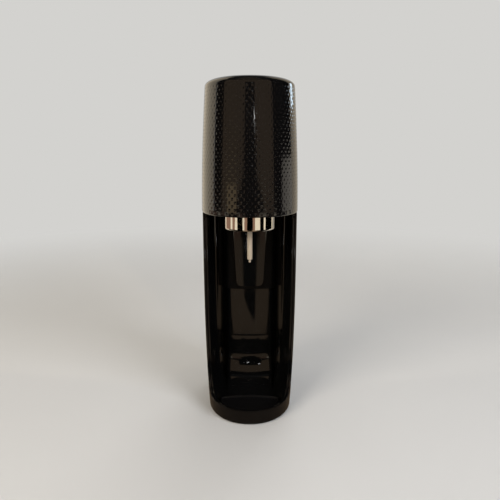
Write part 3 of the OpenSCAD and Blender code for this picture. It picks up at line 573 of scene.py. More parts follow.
def dimple(bm, groups, columns_mm, rows_mm):
    """Sinks a round dimple into each group of four faces."""
    centres = []
    for group in groups:
        corners = [v.co for f in group for v in f.verts]
        centres.append(sum(corners, Vector()) / len(corners))
    faces = [f for group in groups for f in group]
    for radius, depth in DOT_RINGS:
        bmesh.ops.inset_region(bm, faces=faces, thickness=0.15, use_even_offset=True)
        for group, centre in zip(groups, centres):
            for vert in {v for f in group for v in f.verts}:
                x = (vert.co.x - centre.x) * columns_mm
                y = (vert.co.y - centre.y) * rows_mm
                away = math.hypot(x, y)
                if away > 0.1:
                    vert.co.x = centre.x + x / away * radius / columns_mm
                    vert.co.y = centre.y + y / away * radius / rows_mm
                    vert.co.z = -depth / WALL
                elif depth > 0:
                    vert.co.z = -DOT_FLOOR / WALL


def build_head():
    rows = head_rows()
    stations, seam = head_stations()
    half_count = len(stations) - 1
    columns = 2 * half_count
    shift = half_count - 1
    first_dot_row = len(LIP_ROWS) - 1
    cover_row = first_dot_row + 2 * DOT_SIDE_ROWS
    bm = sheet(columns, len(rows) - 1)

    def behind_cover(column, row):
        return abs(column - shift + 0.5) > seam and row < cover_row

    drop_cells(bm, behind_cover)
    groups = {}
    for face in bm.faces:
        column, row = cell(face)
        across = (column - shift + 1) // 2
        up = (row - first_dot_row) // 2
        inside = 0 <= row - first_dot_row < HALF_DOT_ROWS
        near_seam = row < cover_row and abs(2 * across) + 3 > seam
        if inside and not near_seam and (across + up) % 2 == 0:
            groups.setdefault((across, up), []).append(face)
    thicken(bm, open_ends=(0, columns))
    dimple(bm, [g for g in groups.values() if len(g) == 4], DOT_PITCH_X / 2, DOT_PITCH_Z / 2)
    heights = [r[0] for r in rows]
    angles = [r[1] for r in rows]
    depths = [r[2] for r in rows]

    def place(x, y, z):
        column = x - shift
        if column > half_count:
            column -= columns
        height = along(heights, y)
        angle = math.radians(along(angles, y))
        depth = mix(along(depths, y), WALL, -z)
        half = head_half(height)
        inset = depth + (SHOULDER_W - depth) * (1 - math.cos(angle))
        i = min(int(abs(column)), half_count - 1)
        turn = mix(
            station_turn(stations[i], half, inset),
            station_turn(stations[i + 1], half, inset),
            abs(column) - i,
        )
        px, py = plan_point(turn, half, inset)
        return Vector((math.copysign(px, column), py, height + (SHOULDER_H - depth) * math.sin(angle)))

    bend(bm, place)
    make_piece("dotted_head_cover", bm, gloss_abs, "head_cover", smooth=50)


# Columns that the body shell and the liner share near the front opening

FRONT_COUNT = 22
EDGE_COUNT = 10
SIDE_STEP = 5.0


def front_columns(first_y):
    """Stations and cut heights from the front centre round the corner of the opening to the side's edge."""
    corner_y = EDGE_Y - EDGE_R
    stations = [(corner_y, 1 - i / FRONT_COUNT, -90) for i in range(FRONT_COUNT + 1)]
    tops = [RIM_Z] * (FRONT_COUNT + 1)
    for i in range(1, EDGE_COUNT + 1):
        angle = math.pi / 2 * i / EDGE_COUNT
        stations.append((corner_y + EDGE_R * math.sin(angle), 0, -90))
        tops.append(RIM_Z + EDGE_R * (1 - math.cos(angle)))
    count = round((first_y - EDGE_Y) / SIDE_STEP)
    for i in range(1, count + 1):
        stations.append((mix(EDGE_Y, first_y, i / count), 0, 90))
        tops.append(RIM_Z + EDGE_R)
    return stations, tops


EDGE_COLUMN = FRONT_COUNT + EDGE_COUNT


def build_body_shell():
    stations, tops = front_columns(SEAM_Y)
    seam = len(stations) - 1
    seam_turn = plan_angle(SEAM_Y, HALF_W, 0)
    rear_count = 26
    for turn in even_turns(seam_turn, 90, rear_count, HALF_W)[1:]:
        stations.append((SEAM_Y, (turn - seam_turn) / (90 - seam_turn), 90))
        tops.append(RIM_Z + EDGE_R)
    half_count = len(stations) - 1
    band_rows = 5
    corner_rows = band_rows + 8
    top_rows = corner_rows + 40
    foot_z = shell_low.z
    top_z = HEAD_Z - SEAM_GAP
    bm = sheet(2 * half_count, top_rows + 2)

    def cut_away(column, row):
        place = abs(column - half_count + 0.5)
        in_front = place < EDGE_COLUMN and row >= corner_rows
        return in_front or (place > seam and row >= band_rows)

    drop_cells(bm, cut_away)
    thicken(bm, open_ends=(0, 2 * half_count))

    def place(x, y, z):
        column = x - half_count
        k = round(abs(column))
        row = round(y)
        inside = z < MID_SHEET
        inset = WALL if inside else 0.0
        if row <= band_rows:
            height = mix(foot_z, BASE_BAND_Z, row / band_rows)
        elif row <= corner_rows:
            height = mix(BASE_BAND_Z, tops[k], (row - band_rows) / (corner_rows - band_rows))
        else:
            height = mix(tops[k], top_z, min(1, (row - corner_rows) / (top_rows - corner_rows)))
        half = body_half(height)
        if row >= top_rows and inside:
            height = top_z - NECK_ROOT * (2 - (row - top_rows))
        if row > top_rows:
            inset = NECK_IN + NECK_T if inside else NECK_IN
            if row == top_rows + 2:
                height = shell_high.z
        px, py = plan_point(station_turn(stations[k], half, inset), half, inset)
        return Vector((math.copysign(px, column), py, height))

    bend(bm, place)
    round_edges(bm, EDGE_ROUND, angle=60)
    make_piece("lower_body_shell", bm, gloss_abs, "body_shell", smooth=50)


# Cavity liner and what lies against it


def bowl_top(y):
    """Height at which the bowl meets the wall, low at the front rim and high at the column."""
    start = COLLAR_Y - BOWL_LEAD
    share = ease((y - start) / (COLUMN_Y - start))
    return FLOOR_Z + mix(RIM_BOWL_H, BOWL_H, share)


def floor_point(direction, radius, back):
    """Point of the flat floor's outline: round in front and shallower behind the bottle's axis."""
    x, y = direction
    if y > 0:
        y *= FLOOR_SPREAD
    length = math.hypot(x, y)
    reach = back if y > 0 else radius
    return radius * x / length, COLLAR_Y + reach * y / length


liner_stations, liner_tops = front_columns(TURN_Y)
SIDE_COLUMN = len(liner_stations) - 1
CORNER_COLUMN = SIDE_COLUMN + 6
WING_COLUMN = CORNER_COLUMN + 3
FILLET_COLUMN = WING_COLUMN + 7
TURN_COLUMN = FILLET_COLUMN + 8
LAST_COLUMN = TURN_COLUMN + 12


def arc_point(x, y, radius, degrees):
    angle = math.radians(degrees)
    return x + radius * math.cos(angle), y + radius * math.sin(angle)


def back_point(k, corner_x, grow):
    """Point of the liner's plan behind the side wall: corner, wing, fillet, turn and bowed column."""
    if k <= CORNER_COLUMN:
        share = (k - SIDE_COLUMN) / (CORNER_COLUMN - SIDE_COLUMN)
        return arc_point(corner_x, TURN_Y, CORNER_R + grow, 90 * share)
    if k <= WING_COLUMN:
        share = (k - CORNER_COLUMN) / (WING_COLUMN - CORNER_COLUMN)
        return mix(corner_x, WING_X, share), WING_Y + grow
    if k <= FILLET_COLUMN:
        share = (k - WING_COLUMN) / (FILLET_COLUMN - WING_COLUMN)
        return arc_point(WING_X, WING_Y - WING_R, WING_R + grow, mix(90, 180, share))
    if k <= TURN_COLUMN:
        share = (k - FILLET_COLUMN - 1) / (TURN_COLUMN - FILLET_COLUMN - 1)
        return arc_point(TURN_X, TURN_CENTRE_Y, COLUMN_CORNER - grow, TURN_SWEEP * share)
    share = (k - TURN_COLUMN) / (LAST_COLUMN - TURN_COLUMN)
    return arc_point(0, BOW_Y, BOW_R - grow, mix(TURN_SWEEP, -90, share))


def liner_point(k, z, grow):
    """Point of half the liner's plan at a column and a height, grown outwards."""
    inset = LINER_IN - grow
    half = body_half(z)
    if k <= SIDE_COLUMN:
        return plan_point(station_turn(liner_stations[k], half, inset), half, inset)
    side_x = plan_point(plan_angle(TURN_Y, half, inset), half, inset)[0]
    return back_point(k, side_x - CORNER_R - grow, grow)


def liner_mesh():
    """The whole inner wall of the cavity, from the floor up."""
    bowl_rows = 14
    cut_rows = bowl_rows + 3
    top_rows = cut_rows + 24
    bm = sheet(2 * LAST_COLUMN, top_rows)

    def open_front(column, row):
        return abs(column - LAST_COLUMN + 0.5) < EDGE_COLUMN and row >= cut_rows

    drop_cells(bm, open_front)
    thicken(bm, open_ends=(0, 2 * LAST_COLUMN))
    floor_walls = [f for f in bm.faces if all(abs(v.co.y) < NEAR for v in f.verts)]
    bmesh.ops.delete(bm, geom=floor_walls, context="FACES")

    def place(x, y, z):
        column = x - LAST_COLUMN
        k = round(abs(column))
        grow = LINER_T if z < MID_SHEET else 0.0
        row = round(y)
        foot = liner_point(k, FLOOR_Z, grow)
        top = bowl_top(foot[1]) - grow
        low = FLOOR_Z - grow
        if row <= bowl_rows:
            angle = math.pi / 2 * (1 - row / bowl_rows)
            flat = floor_point((foot[0], foot[1] - COLLAR_Y), FLOOR_R + grow, FLOOR_BACK + grow)
            share = 1 - math.cos(angle)
            px = mix(foot[0], flat[0], share)
            py = mix(foot[1], flat[1], share)
            height = mix(low, top, 1 - math.sin(angle))
        else:
            if k <= EDGE_COLUMN:
                middle = liner_tops[k] - LINER_RIM_DROP
            else:
                middle = top + RIM_Z + EDGE_R - LINER_RIM_DROP - FLOOR_Z - RIM_BOWL_H
            if row <= cut_rows:
                height = mix(top, middle, (row - bowl_rows) / (cut_rows - bowl_rows))
            else:
                height = mix(middle, liner_high.z, (row - cut_rows) / (top_rows - cut_rows))
            px, py = liner_point(k, height, grow)
        return Vector((math.copysign(px, column), py, height))

    bend(bm, place)
    fill_rims(bm)
    return bm


SEAM_ROUND = 0.3
PANEL_T = 2


def cut_level(bm, z, keep_above):
    """Keeps what lies over or under a level and closes the cut."""
    bmesh.ops.bisect_plane(
        bm,
        geom=bm.verts[:] + bm.edges[:] + bm.faces[:],
        dist=0.05,
        plane_co=(0, 0, z),
        plane_no=(0, 0, 1),
        clear_inner=keep_above,
        clear_outer=not keep_above,
    )
    fill_rims(bm)
    round_edges(bm, SEAM_ROUND, angle=60)
    return bm


def build_liner():
    walls = cut_level(liner_mesh(), liner_low.z, keep_above=True)
    make_piece("cavity_liner_wall", walls, liner_abs, "cavity_liner", smooth=50)
    bowl = cut_level(liner_mesh(), bowl_high.z, keep_above=False)
    make_piece("cavity_bowl_floor", bowl, liner_abs, "cavity_bowl", smooth=50)


def build_back_panel():
    first = WING_COLUMN
    half_count = LAST_COLUMN - first + 2
    rows = 12
    bm = sheet(2 * half_count, rows)
    thicken(bm)

    def place(x, y, z):
        column = x - half_count
        k = LAST_COLUMN - round(abs(column))
        grow = -GAP if z < MID_SHEET else -GAP - PANEL_T
        if k >= first:
            px, py = back_point(k, 0, grow)
        else:
            px = mix(WING_X, panel_high.x, (first - k) / 2)
            py = WING_Y + grow
        return Vector((math.copysign(px, column), py, mix(panel_low.z, panel_high.z, y / rows)))

    bend(bm, place)
    round_edges(bm, EDGE_ROUND, segments=3, angle=60)
    make_piece("upper_back_panel", bm, panel_grain, "back_panel", smooth=50)


# Tongue behind the nozzle

SHIELD_END_W = 38.5
SHIELD_T = 2.5
SHIELD_CORNER = 8
SHIELD_STRAIGHT = 3
SHIELD_ROUND = 0.7


def shield_half(z):
    """Half-width of the shield at a height, with round lower corners."""
    straight_z = collar_low.z - SHIELD_STRAIGHT
    round_z = shield_low.z + SHIELD_CORNER
    end = SHIELD_END_W / 2
    if z < round_z:
        return end - SHIELD_CORNER + math.sqrt(max(0.0, SHIELD_CORNER**2 - (round_z - z) ** 2))
    return mix(end, shield_high.x, min(1.0, (z - round_z) / (straight_z - round_z)))


def build_shield():
    columns = 28
    corner_rows = 10
    rows = corner_rows + 24
    bm = sheet(columns, rows)
    thicken(bm)
    outer_r = BOW_Y - shield_low.y

    def place(x, y, z):
        row = round(y)
        if row <= corner_rows:
            angle = math.pi / 2 * row / corner_rows
            height = shield_low.z + SHIELD_CORNER * (1 - math.cos(angle))
        else:
            share = (row - corner_rows) / (rows - corner_rows)
            height = mix(shield_low.z + SHIELD_CORNER, shield_high.z, share)
        px = mix(-1, 1, x / columns) * shield_half(height)
        radius = outer_r - SHIELD_T if z < MID_SHEET else outer_r
        return Vector((px, BOW_Y - math.sqrt(radius**2 - px**2), height))

    bend(bm, place)
    round_edges(bm, SHIELD_ROUND, segments=3, angle=60)
    make_piece("nozzle_shield", bm, liner_abs, "rear_shield", smooth=50)


# Bottle holder

COLLAR_T = 4
COLLAR_FOOT_R = 2.0
SUPPORT = 0.4


def build_collar():
    """Ring with a round foot. Loops beside its rounded edges keep the wall between them an even mirror."""
    inner = COLLAR_R - COLLAR_T
    low = collar_low.z
    high = collar_high.z
    wall_in = EDGE_ROUND + SUPPORT
    outline = [(inner, high), (inner, high - wall_in), (inner, low + wall_in), (inner, low)]
    outline += [(COLLAR_R, low), (COLLAR_R, low + COLLAR_FOOT_R + SUPPORT)]
    outline += [(COLLAR_R, high - wall_in), (COLLAR_R, high)]
    bm = lathe(outline, COLLAR_Y, steps=160)

    def at_foot(vert):
        away = math.hypot(vert.co.x, vert.co.y - COLLAR_Y)
        return vert.co.z < low + NEAR and away > COLLAR_R - NEAR

    foot_edges = [e for e in bm.edges if all(at_foot(v) for v in e.verts)]
    bevel(bm, foot_edges, COLLAR_FOOT_R, segments=6)
    round_edges(bm, EDGE_ROUND)
    make_piece("chrome_collar", bm, plating, "collar_ring", smooth=40)


def build_nozzle():
    """Pipe with a slightly slimmer end piece that narrows to a neck and a small ball."""
    tube_low, tube_high = node_box("nozzle_tube")
    tip_low, tip_high = node_box("nozzle_tip")
    radius = tube_high.x
    ball_r = 1.5
    neck_r = 1.0
    cone_h = 1.4
    cone_in = 0.6
    edge = 0.5
    seam_in = 0.15
    seam_h = 0.4
    profile = [(0.0, tip_low.z)]
    for degrees in range(18, 127, 18):
        angle = math.radians(degrees)
        profile.append((ball_r * math.sin(angle), tip_low.z + ball_r * (1 - math.cos(angle))))
    profile += [
        (neck_r, tip_high.z - cone_h),
        (radius - cone_in, tip_high.z - edge),
        (radius - seam_in, tip_high.z),
        (0.0, tip_high.z),
    ]
    tip = lathe(profile, COLLAR_Y, steps=48)
    make_piece("nozzle_end", tip, acetal, "nozzle_tip", smooth=40)
    profile = [
        (0.0, tube_low.z),
        (radius - seam_in, tube_low.z),
        (radius, tube_low.z + seam_h),
        (radius, tube_high.z - edge),
        (radius - edge, tube_high.z),
        (0.0, tube_high.z),
    ]
    tube = lathe(profile, COLLAR_Y, steps=48)
    make_piece("nozzle_pipe", tube, acetal, "nozzle_tube", smooth=40)


def build_tray():
    """Shallow dish: its rows run from the middle out over the rim and back to the middle underneath."""
    wall = 1.6
    room = 0.5
    middle_in = 22.0
    fillet = 1.2
    fillet_mid = 0.35
    rim_edge = 0.4
    foot_edge = 0.6
    low = tray_low.z
    high = tray_high.z
    rows = [
        (FLOOR_R, low + wall),
        (middle_in, low + wall),
        (wall + fillet, low + wall),
        (wall + fillet_mid, low + wall + fillet_mid),
        (wall, low + wall + fillet),
        (wall, high - rim_edge),
        (wall - rim_edge, high),
        (rim_edge, high),
        (0.0, high - rim_edge),
        (0.0, low + foot_edge),
        (foot_edge, low),
        (FLOOR_R, low),
    ]
    columns = 120
    bm = sheet(columns, len(rows) - 1)

    def place(x, y, z):
        inset, height = rows[round(y)]
        radius = max(0.0, FLOOR_R - room - inset)
        back = max(0.0, FLOOR_BACK - room - inset)
        angle = math.tau * round(x) / columns
        px, py = floor_point((math.cos(angle), math.sin(angle)), radius, back)
        return Vector((px, py, height))

    bend(bm, place)
    make_piece("drip_tray_dish", bm, tray_grain, "drip_tray", smooth=60)


# Button

BUTTON_GAP = 1
BUTTON_T = 2.4
BUTTON_EDGE = 1.4
BUTTON_EDGE_DROP = 0.2
BUTTON_FOOT_IN = 0.4
BUTTON_FOOT_H = 0.5


def build_button():
    edge_z = head_high.z - BUTTON_EDGE_DROP
    base_in = SHOULDER_W + BUTTON_GAP
    crown = [0.0, 0.1, 0.22, 0.36, 0.5, 0.64, 0.76, 0.86, 0.94, 1.0]
    heights = [mix(button_high.z, edge_z, share * share) for share in crown]
    rows = [(share, BUTTON_EDGE, z) for share, z in zip(crown, heights)]
    steps = 5
    for i in range(1, steps + 1):
        angle = math.pi / 2 * i / steps
        inset = BUTTON_EDGE * (1 - math.sin(angle))
        rows.append((1.0, inset, edge_z - BUTTON_EDGE * (1 - math.cos(angle))))
    rows += [
        (1.0, 0.0, button_low.z + BUTTON_FOOT_H),
        (1.0, BUTTON_FOOT_IN, button_low.z),
        (1.0, BUTTON_T, button_low.z),
        (1.0, BUTTON_T, edge_z - BUTTON_EDGE - BUTTON_T),
    ]
    under_in = BUTTON_EDGE + BUTTON_T / 2
    rows += [(share, under_in, z - BUTTON_T) for share, z in zip(crown[::-1], heights[::-1])]
    columns = 160
    bm = sheet(columns, len(rows) - 1)
    half = head_half(SHOULDER_Z)
    turns = even_turns(-90, 90, columns // 2, half)

    def place(x, y, z):
        scale, inset, height = rows[round(y)]
        k = round(x)
        side = 1 if k <= columns // 2 else -1
        turn = turns[k] if side > 0 else turns[columns - k]
        px, py = plan_point(turn, half, base_in + inset)
        return Vector((side * px * scale, py * scale, height))

    bend(bm, place)
    make_piece("press_button", bm, gloss_abs, "top_button", smooth=60)


# Rear cover and its latch

CAGE_X = 18
CAGE_T = 2
CAGE_DROP = 6
CAGE_UP = 3.4
SPRING_ROOM = 8
ROOT = 1
TAB_X = (4, 14)
TAB_T = 2.6
TAB_BACK = 1.4
TAB_DROP = 6
LATCH_DROP = 64
LATCH_Z = button_high.z - LATCH_DROP
LATCH_HALF = (12, 5.5)
LATCH_LIP = 2
LATCH_ROUND = 1.2
HOOK_X = 6
HOOK_T = 3
RIB_X = 9
RIB_HALF = 0.4
RIB_PITCH = 2.4
RIB_SUNK = 0.5
RIB_PROUD = 0.35
RIB_ROUND = 0.3
FLANGE_T = 3
FLANGE_Y = latch_high.y - WALL - 2 * GAP - FLANGE_T
COVER_FOOT_Z = cover_low.z + TAB_DROP


def cover_shell():
    seam_y = cover_low.y
    hole_x = LATCH_HALF[0] + GAP
    hole_z = (LATCH_Z - LATCH_HALF[1] - GAP, LATCH_Z + LATCH_HALF[1] + GAP)
    low_z = COVER_FOOT_Z
    high_z = cover_high.z
    hole_columns = 5
    side_columns = 34
    half_count = hole_columns + side_columns
    low_rows = 44
    hole_rows = low_rows + 3
    rows = hole_rows + 5
    bm = sheet(2 * half_count, rows)

    def latch_hole(column, row):
        return abs(column - half_count + 0.5) < hole_columns and low_rows <= row < hole_rows

    drop_cells(bm, latch_hole)
    thicken(bm)

    def cross_angle(x, half, inset):
        return math.degrees(math.acos((x / (half - inset)) ** (REAR_N / 2)))

    spread = even_turns(plan_angle(seam_y, HALF_W, 0), cross_angle(hole_x, HALF_W, 0), side_columns, HALF_W)
    shares = [(t - spread[0]) / (spread[-1] - spread[0]) for t in spread]

    def place(x, y, z):
        column = x - half_count
        k = round(abs(column))
        row = round(y)
        if row <= low_rows:
            height = mix(low_z, hole_z[0], row / low_rows)
        elif row <= hole_rows:
            height = mix(hole_z[0], hole_z[1], (row - low_rows) / (hole_rows - low_rows))
        else:
            height = mix(hole_z[1], high_z, (row - hole_rows) / (rows - hole_rows))
        inset = WALL if z < MID_SHEET else 0.0
        half = cover_half(height)
        if k <= hole_columns:
            turn = cross_angle(hole_x * k / hole_columns, half, inset)
        else:
            share = shares[side_columns - (k - hole_columns)]
            turn = mix(plan_angle(seam_y, half, inset), cross_angle(hole_x, half, inset), share)
        px, py = plan_point(turn, half, inset)
        return Vector((math.copysign(px, column), py, height))

    bend(bm, place)
    round_edges(bm, EDGE_ROUND, angle=60)
    return bm


def build_rear_cover():
    """Cover with the spring cage behind its latch and the two tabs that it stands on."""
    cage_y = FLANGE_Y - SPRING_ROOM - CAGE_T
    cage_z = LATCH_Z - LATCH_HALF[1] - CAGE_DROP
    shelf = block((-CAGE_X, cage_y, cage_z), (CAGE_X, latch_high.y - WALL + ROOT, cage_z + CAGE_T))
    plate = block((-CAGE_X, cage_y, cage_z), (CAGE_X, cage_y + CAGE_T, LATCH_Z + CAGE_UP))
    wall_y = REAR_Y - DEPTH_DRAW * (HALF_W - cover_half(COVER_FOOT_Z)) - WALL
    tab_y = wall_y - TAB_BACK - TAB_T
    tabs = []
    for side in (-1, 1):
        x0, x1 = sorted(side * x for x in TAB_X)
        tabs.append(block((x0, tab_y, COVER_FOOT_Z), (x1, wall_y + ROOT, COVER_FOOT_Z + TAB_T)))
        tabs.append(block((x0, tab_y, cover_low.z), (x1, tab_y + TAB_T, COVER_FOOT_Z + ROOT)))
    shell = join(cover_shell(), shelf, plate, *tabs)
    make_piece("rear_cover_shell", shell, gloss_abs, "rear_cover", smooth=50)


def build_latch():
    """Push pad with grip ribs, the flange behind it and the hook that holds the cover."""
    half_x, half_z = LATCH_HALF
    low = FLANGE_Y
    hook_z = LATCH_Z + half_z + LATCH_LIP
    pad = block((-half_x, low, LATCH_Z - half_z), (half_x, latch_high.y, LATCH_Z + half_z), LATCH_ROUND)
    flange = block(
        (-half_x - LATCH_LIP, low, LATCH_Z - half_z - LATCH_LIP),
        (half_x + LATCH_LIP, low + FLANGE_T, hook_z),
        EDGE_ROUND,
    )
    hook_low = (-HOOK_X, latch_low.y, hook_z - HOOK_T)
    hook_arm = block(hook_low, (HOOK_X, low + ROOT, hook_z))
    hook = block(hook_low, (HOOK_X, latch_low.y + HOOK_T, latch_high.z))
    ribs = []
    for up in (-RIB_PITCH, 0, RIB_PITCH):
        rib_low = (-RIB_X, latch_high.y - RIB_SUNK, LATCH_Z + up - RIB_HALF)
        rib_high = (RIB_X, latch_high.y + RIB_PROUD, LATCH_Z + up + RIB_HALF)
        ribs.append(block(rib_low, rib_high, RIB_ROUND))
    make_piece("latch_button", join(pad, flange, hook_arm, hook, *ribs), gloss_abs, "cover_latch")


# Feet

FOOT_R = 7
FOOT_EDGE = 0.9
FOOT_EDGE_MID = 0.35
FOOT_FLAT_IN = 2.2


def build_feet():
    low, high = node_box("rubber_feet")
    profile = [
        (0.0, 0.0),
        (FOOT_R - FOOT_FLAT_IN, 0.0),
        (FOOT_R - FOOT_EDGE, 0.0),
        (FOOT_R - FOOT_EDGE_MID, FOOT_EDGE_MID),
        (FOOT_R, FOOT_EDGE),
        (FOOT_R, high.z),
        (0.0, high.z),
    ]
    foot_x = high.x - FOOT_R
    foot_ys = (low.y + FOOT_R, high.y - FOOT_R)
    feet = [lathe(profile, y, x, steps=48) for x in (-foot_x, foot_x) for y in foot_ys]
    make_piece("rubber_foot_set", join(*feet), foot_rubber, "rubber_feet")


# Springs

PLUNGER_WIRE_R = 0.6
PLUNGER_TURNS = 5
LATCH_WIRE_R = 0.4
LATCH_TURNS = 4


def turn_x(bm, degrees):
    """Turns a mesh about the X axis."""
    matrix = Matrix.Rotation(math.radians(degrees), 3, "X")
    bmesh.ops.rotate(bm, verts=bm.verts, cent=(0, 0, 0), matrix=matrix)


def spring_coil(radius, wire, turns, length):
    """Coil spring of round wire that stands on the origin."""
    steps = 24 * turns
    bm = bmesh.new()
    bmesh.ops.create_circle(bm, cap_ends=True, radius=wire, segments=10)
    turn_x(bm, 90)
    bmesh.ops.translate(bm, verts=bm.verts, vec=(radius, 0, wire))
    bmesh.ops.spin(
        bm,
        geom=bm.verts[:] + bm.edges[:] + bm.faces[:],
        cent=(0, 0, 0),
        axis=(0, 0, 1),
        dvec=(0, 0, (length - 2 * wire) / steps),
        angle=math.tau * turns,
        steps=steps,
    )
    bmesh.ops.recalc_face_normals(bm, faces=bm.faces)
    return bm


def build_springs():
    """Springs of the plunger and the latch, each standing on its seat."""
    low, high = node_box("plunger_spring")
    length = high.z - low.z
    bm = spring_coil(high.x - PLUNGER_WIRE_R, PLUNGER_WIRE_R, PLUNGER_TURNS, length)
    seat = Vector((0, CYLINDER_Y, low.z))
    bmesh.ops.translate(bm, verts=bm.verts, vec=seat)
    coil = make_piece("plunger_coil", bm, turned_steel, "plunger_spring")
    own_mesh(coil)

    low, high = node_box("latch_spring")
    length = high.y - low.y
    bm = spring_coil(high.x - LATCH_WIRE_R, LATCH_WIRE_R, LATCH_TURNS, length)
    turn_x(bm, -90)
    seat = Vector((0, low.y, LATCH_Z))
    bmesh.ops.translate(bm, verts=bm.verts, vec=seat)
    coil = make_piece("latch_coil", bm, turned_steel, "latch_spring")
    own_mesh(coil)


build_head()
build_body_shell()
build_liner()
build_back_panel()
build_shield()
build_collar()
build_nozzle()
build_tray()
build_button()
build_rear_cover()
build_latch()
build_springs()
build_feet()


# Stage, lights and camera

FLOOR_REACH = 2.4
WALL_SWEEP = 0.7
WALL_TOP = 2.6
SHADED_REACH = 0.5
PALE_REACH = 1.6
PAPER = "#D3D2CF"
PAPER_MOTTLE = "#D8D7D4"
WORLD = "#3A3A3A"
AIM_Z = 0.2
CAMERA_PLACE = (0, -0.6966, 0.3502)
CAMERA_PITCH = 11.63

# Paints of the studio cards
VELVET = "#000000"
WARM = "#C8AC8E"
SAND = "#D9BE94"
BEIGE = "#E2D4BC"
GREY = "#CFC8BC"
CREAM = "#F0E4CC"
TAN = "#B08C76"
WHITE = "#FFFFFF"
COOL_WHITE = "#DDF0FF"
BELT_TOP = 0.13


def paper_material():
    """Matt studio paper: near by it takes shadows, and far off it is evenly pale, also in reflections."""
    material, tree, shader, place = new_material("studio_paper", **{"Roughness": 0.95})
    mottle = add(tree, "ShaderNodeTexNoise", {"Vector": place, "Scale": per_mm(300), "Detail": 2.0})
    tint = add(
        tree,
        "ShaderNodeMix",
        {"Factor": mottle.outputs["Fac"], "A": linear(PAPER), "B": linear(PAPER_MOTTLE)},
        data_type="RGBA",
    )
    tree.links.new(tint.outputs["Result"], shader.inputs["Base Color"])
    away = add(tree, "ShaderNodeVectorMath", {0: place}, operation="LENGTH")
    far = add(
        tree,
        "ShaderNodeMapRange",
        {"Value": away.outputs["Value"], "From Min": SHADED_REACH, "From Max": PALE_REACH},
        interpolation_type="SMOOTHSTEP",
    )
    path = add(tree, "ShaderNodeLightPath")
    seen = add(
        tree,
        "ShaderNodeMath",
        {0: path.outputs["Is Camera Ray"], 1: path.outputs["Is Glossy Ray"]},
        operation="MAXIMUM",
    )
    share = add(
        tree,
        "ShaderNodeMath",
        {0: far.outputs["Result"], 1: seen.outputs["Value"]},
        operation="MULTIPLY",
    )
    glow = add(tree, "ShaderNodeEmission", {"Color": linear(PAPER), "Strength": 1.0})
    blend = add(
        tree,
        "ShaderNodeMixShader",
        {"Fac": share.outputs["Value"], 1: shader.outputs["BSDF"], 2: glow.outputs["Emission"]},
    )
    output = next(n for n in tree.nodes if n.type == "OUTPUT_MATERIAL")
    tree.links.new(blend.outputs["Shader"], output.inputs["Surface"])
    return material


def stage_piece(name, bm, material):
    for face in bm.faces:
        face.smooth = True
    piece = mesh_object(name, bm, material)
    return piece


def build_studio():
    """Round pale floor that sweeps up into a wall all round, so every side has the same plain ground."""
    profile = [(0.0, 0.0), (0.6, 0.0), (FLOOR_REACH - WALL_SWEEP, 0.0)]
    steps = 12
    for i in range(1, steps + 1):
        angle = math.pi / 2 * i / steps
        reach = FLOOR_REACH - WALL_SWEEP * (1 - math.sin(angle))
        profile.append((reach, WALL_SWEEP * (1 - math.cos(angle))))
    profile.append((FLOOR_REACH, WALL_TOP))
    bm = lathe(profile, steps=96, closed=False)
    bmesh.ops.reverse_faces(bm, faces=bm.faces)
    stage_piece("studio_round", bm, paper_material())


def polar(azimuth, distance, z):
    """Place round the object: azimuth 0 is in front, and positive is to the right."""
    angle = math.radians(azimuth)
    return Vector((distance * math.sin(angle), -distance * math.cos(angle), z))


def card(name, colour, glow, *rows):
    """Card that shows only in reflections on the object, as in a product studio: it glows in its paint
    colour though no lamp lights it, or it is black velvet.

    A row is (distance, height, first azimuth, last azimuth).
    """
    steps = 24
    bm = sheet(steps, len(rows) - 1)
    for vert in bm.verts:
        distance, z, first, last = rows[round(vert.co.y)]
        vert.co = polar(mix(first, last, vert.co.x / steps), distance, z)
    sockets = {"Base Color": linear(VELVET), "Roughness": 1.0, "Specular IOR Level": 0.0}
    # The paint colour glows, so the card makes painted reflections and glints that show only in the gloss.
    glow_sockets = {"Emission Color": linear(colour), "Emission Strength": glow}
    material = new_material(name, **sockets, **glow_sockets)[0]
    material.cycles.emission_sampling = "NONE"
    piece = stage_piece(name, bm, material)
    piece.visible_camera = False
    piece.visible_diffuse = False
    piece.visible_shadow = False


def softbox(name, place, width, height, radiance, colour):
    """Soft light with an even face of a given radiance, aimed at the middle of the object."""
    data = bpy.data.lights.new(name, "AREA")
    data.shape = "RECTANGLE"
    data.size = width
    data.size_y = height
    data.energy = radiance * math.pi * width * height
    data.color = linear(colour)[:3]
    lamp = bpy.data.objects.new(name, data)
    lamp.location = place
    lamp.rotation_euler = (Vector((0, 0, AIM_Z)) - lamp.location).to_track_quat("-Z", "Y").to_euler()
    lamp.visible_camera = False
    lamp.visible_glossy = False
    bpy.context.scene.collection.objects.link(lamp)


build_studio()

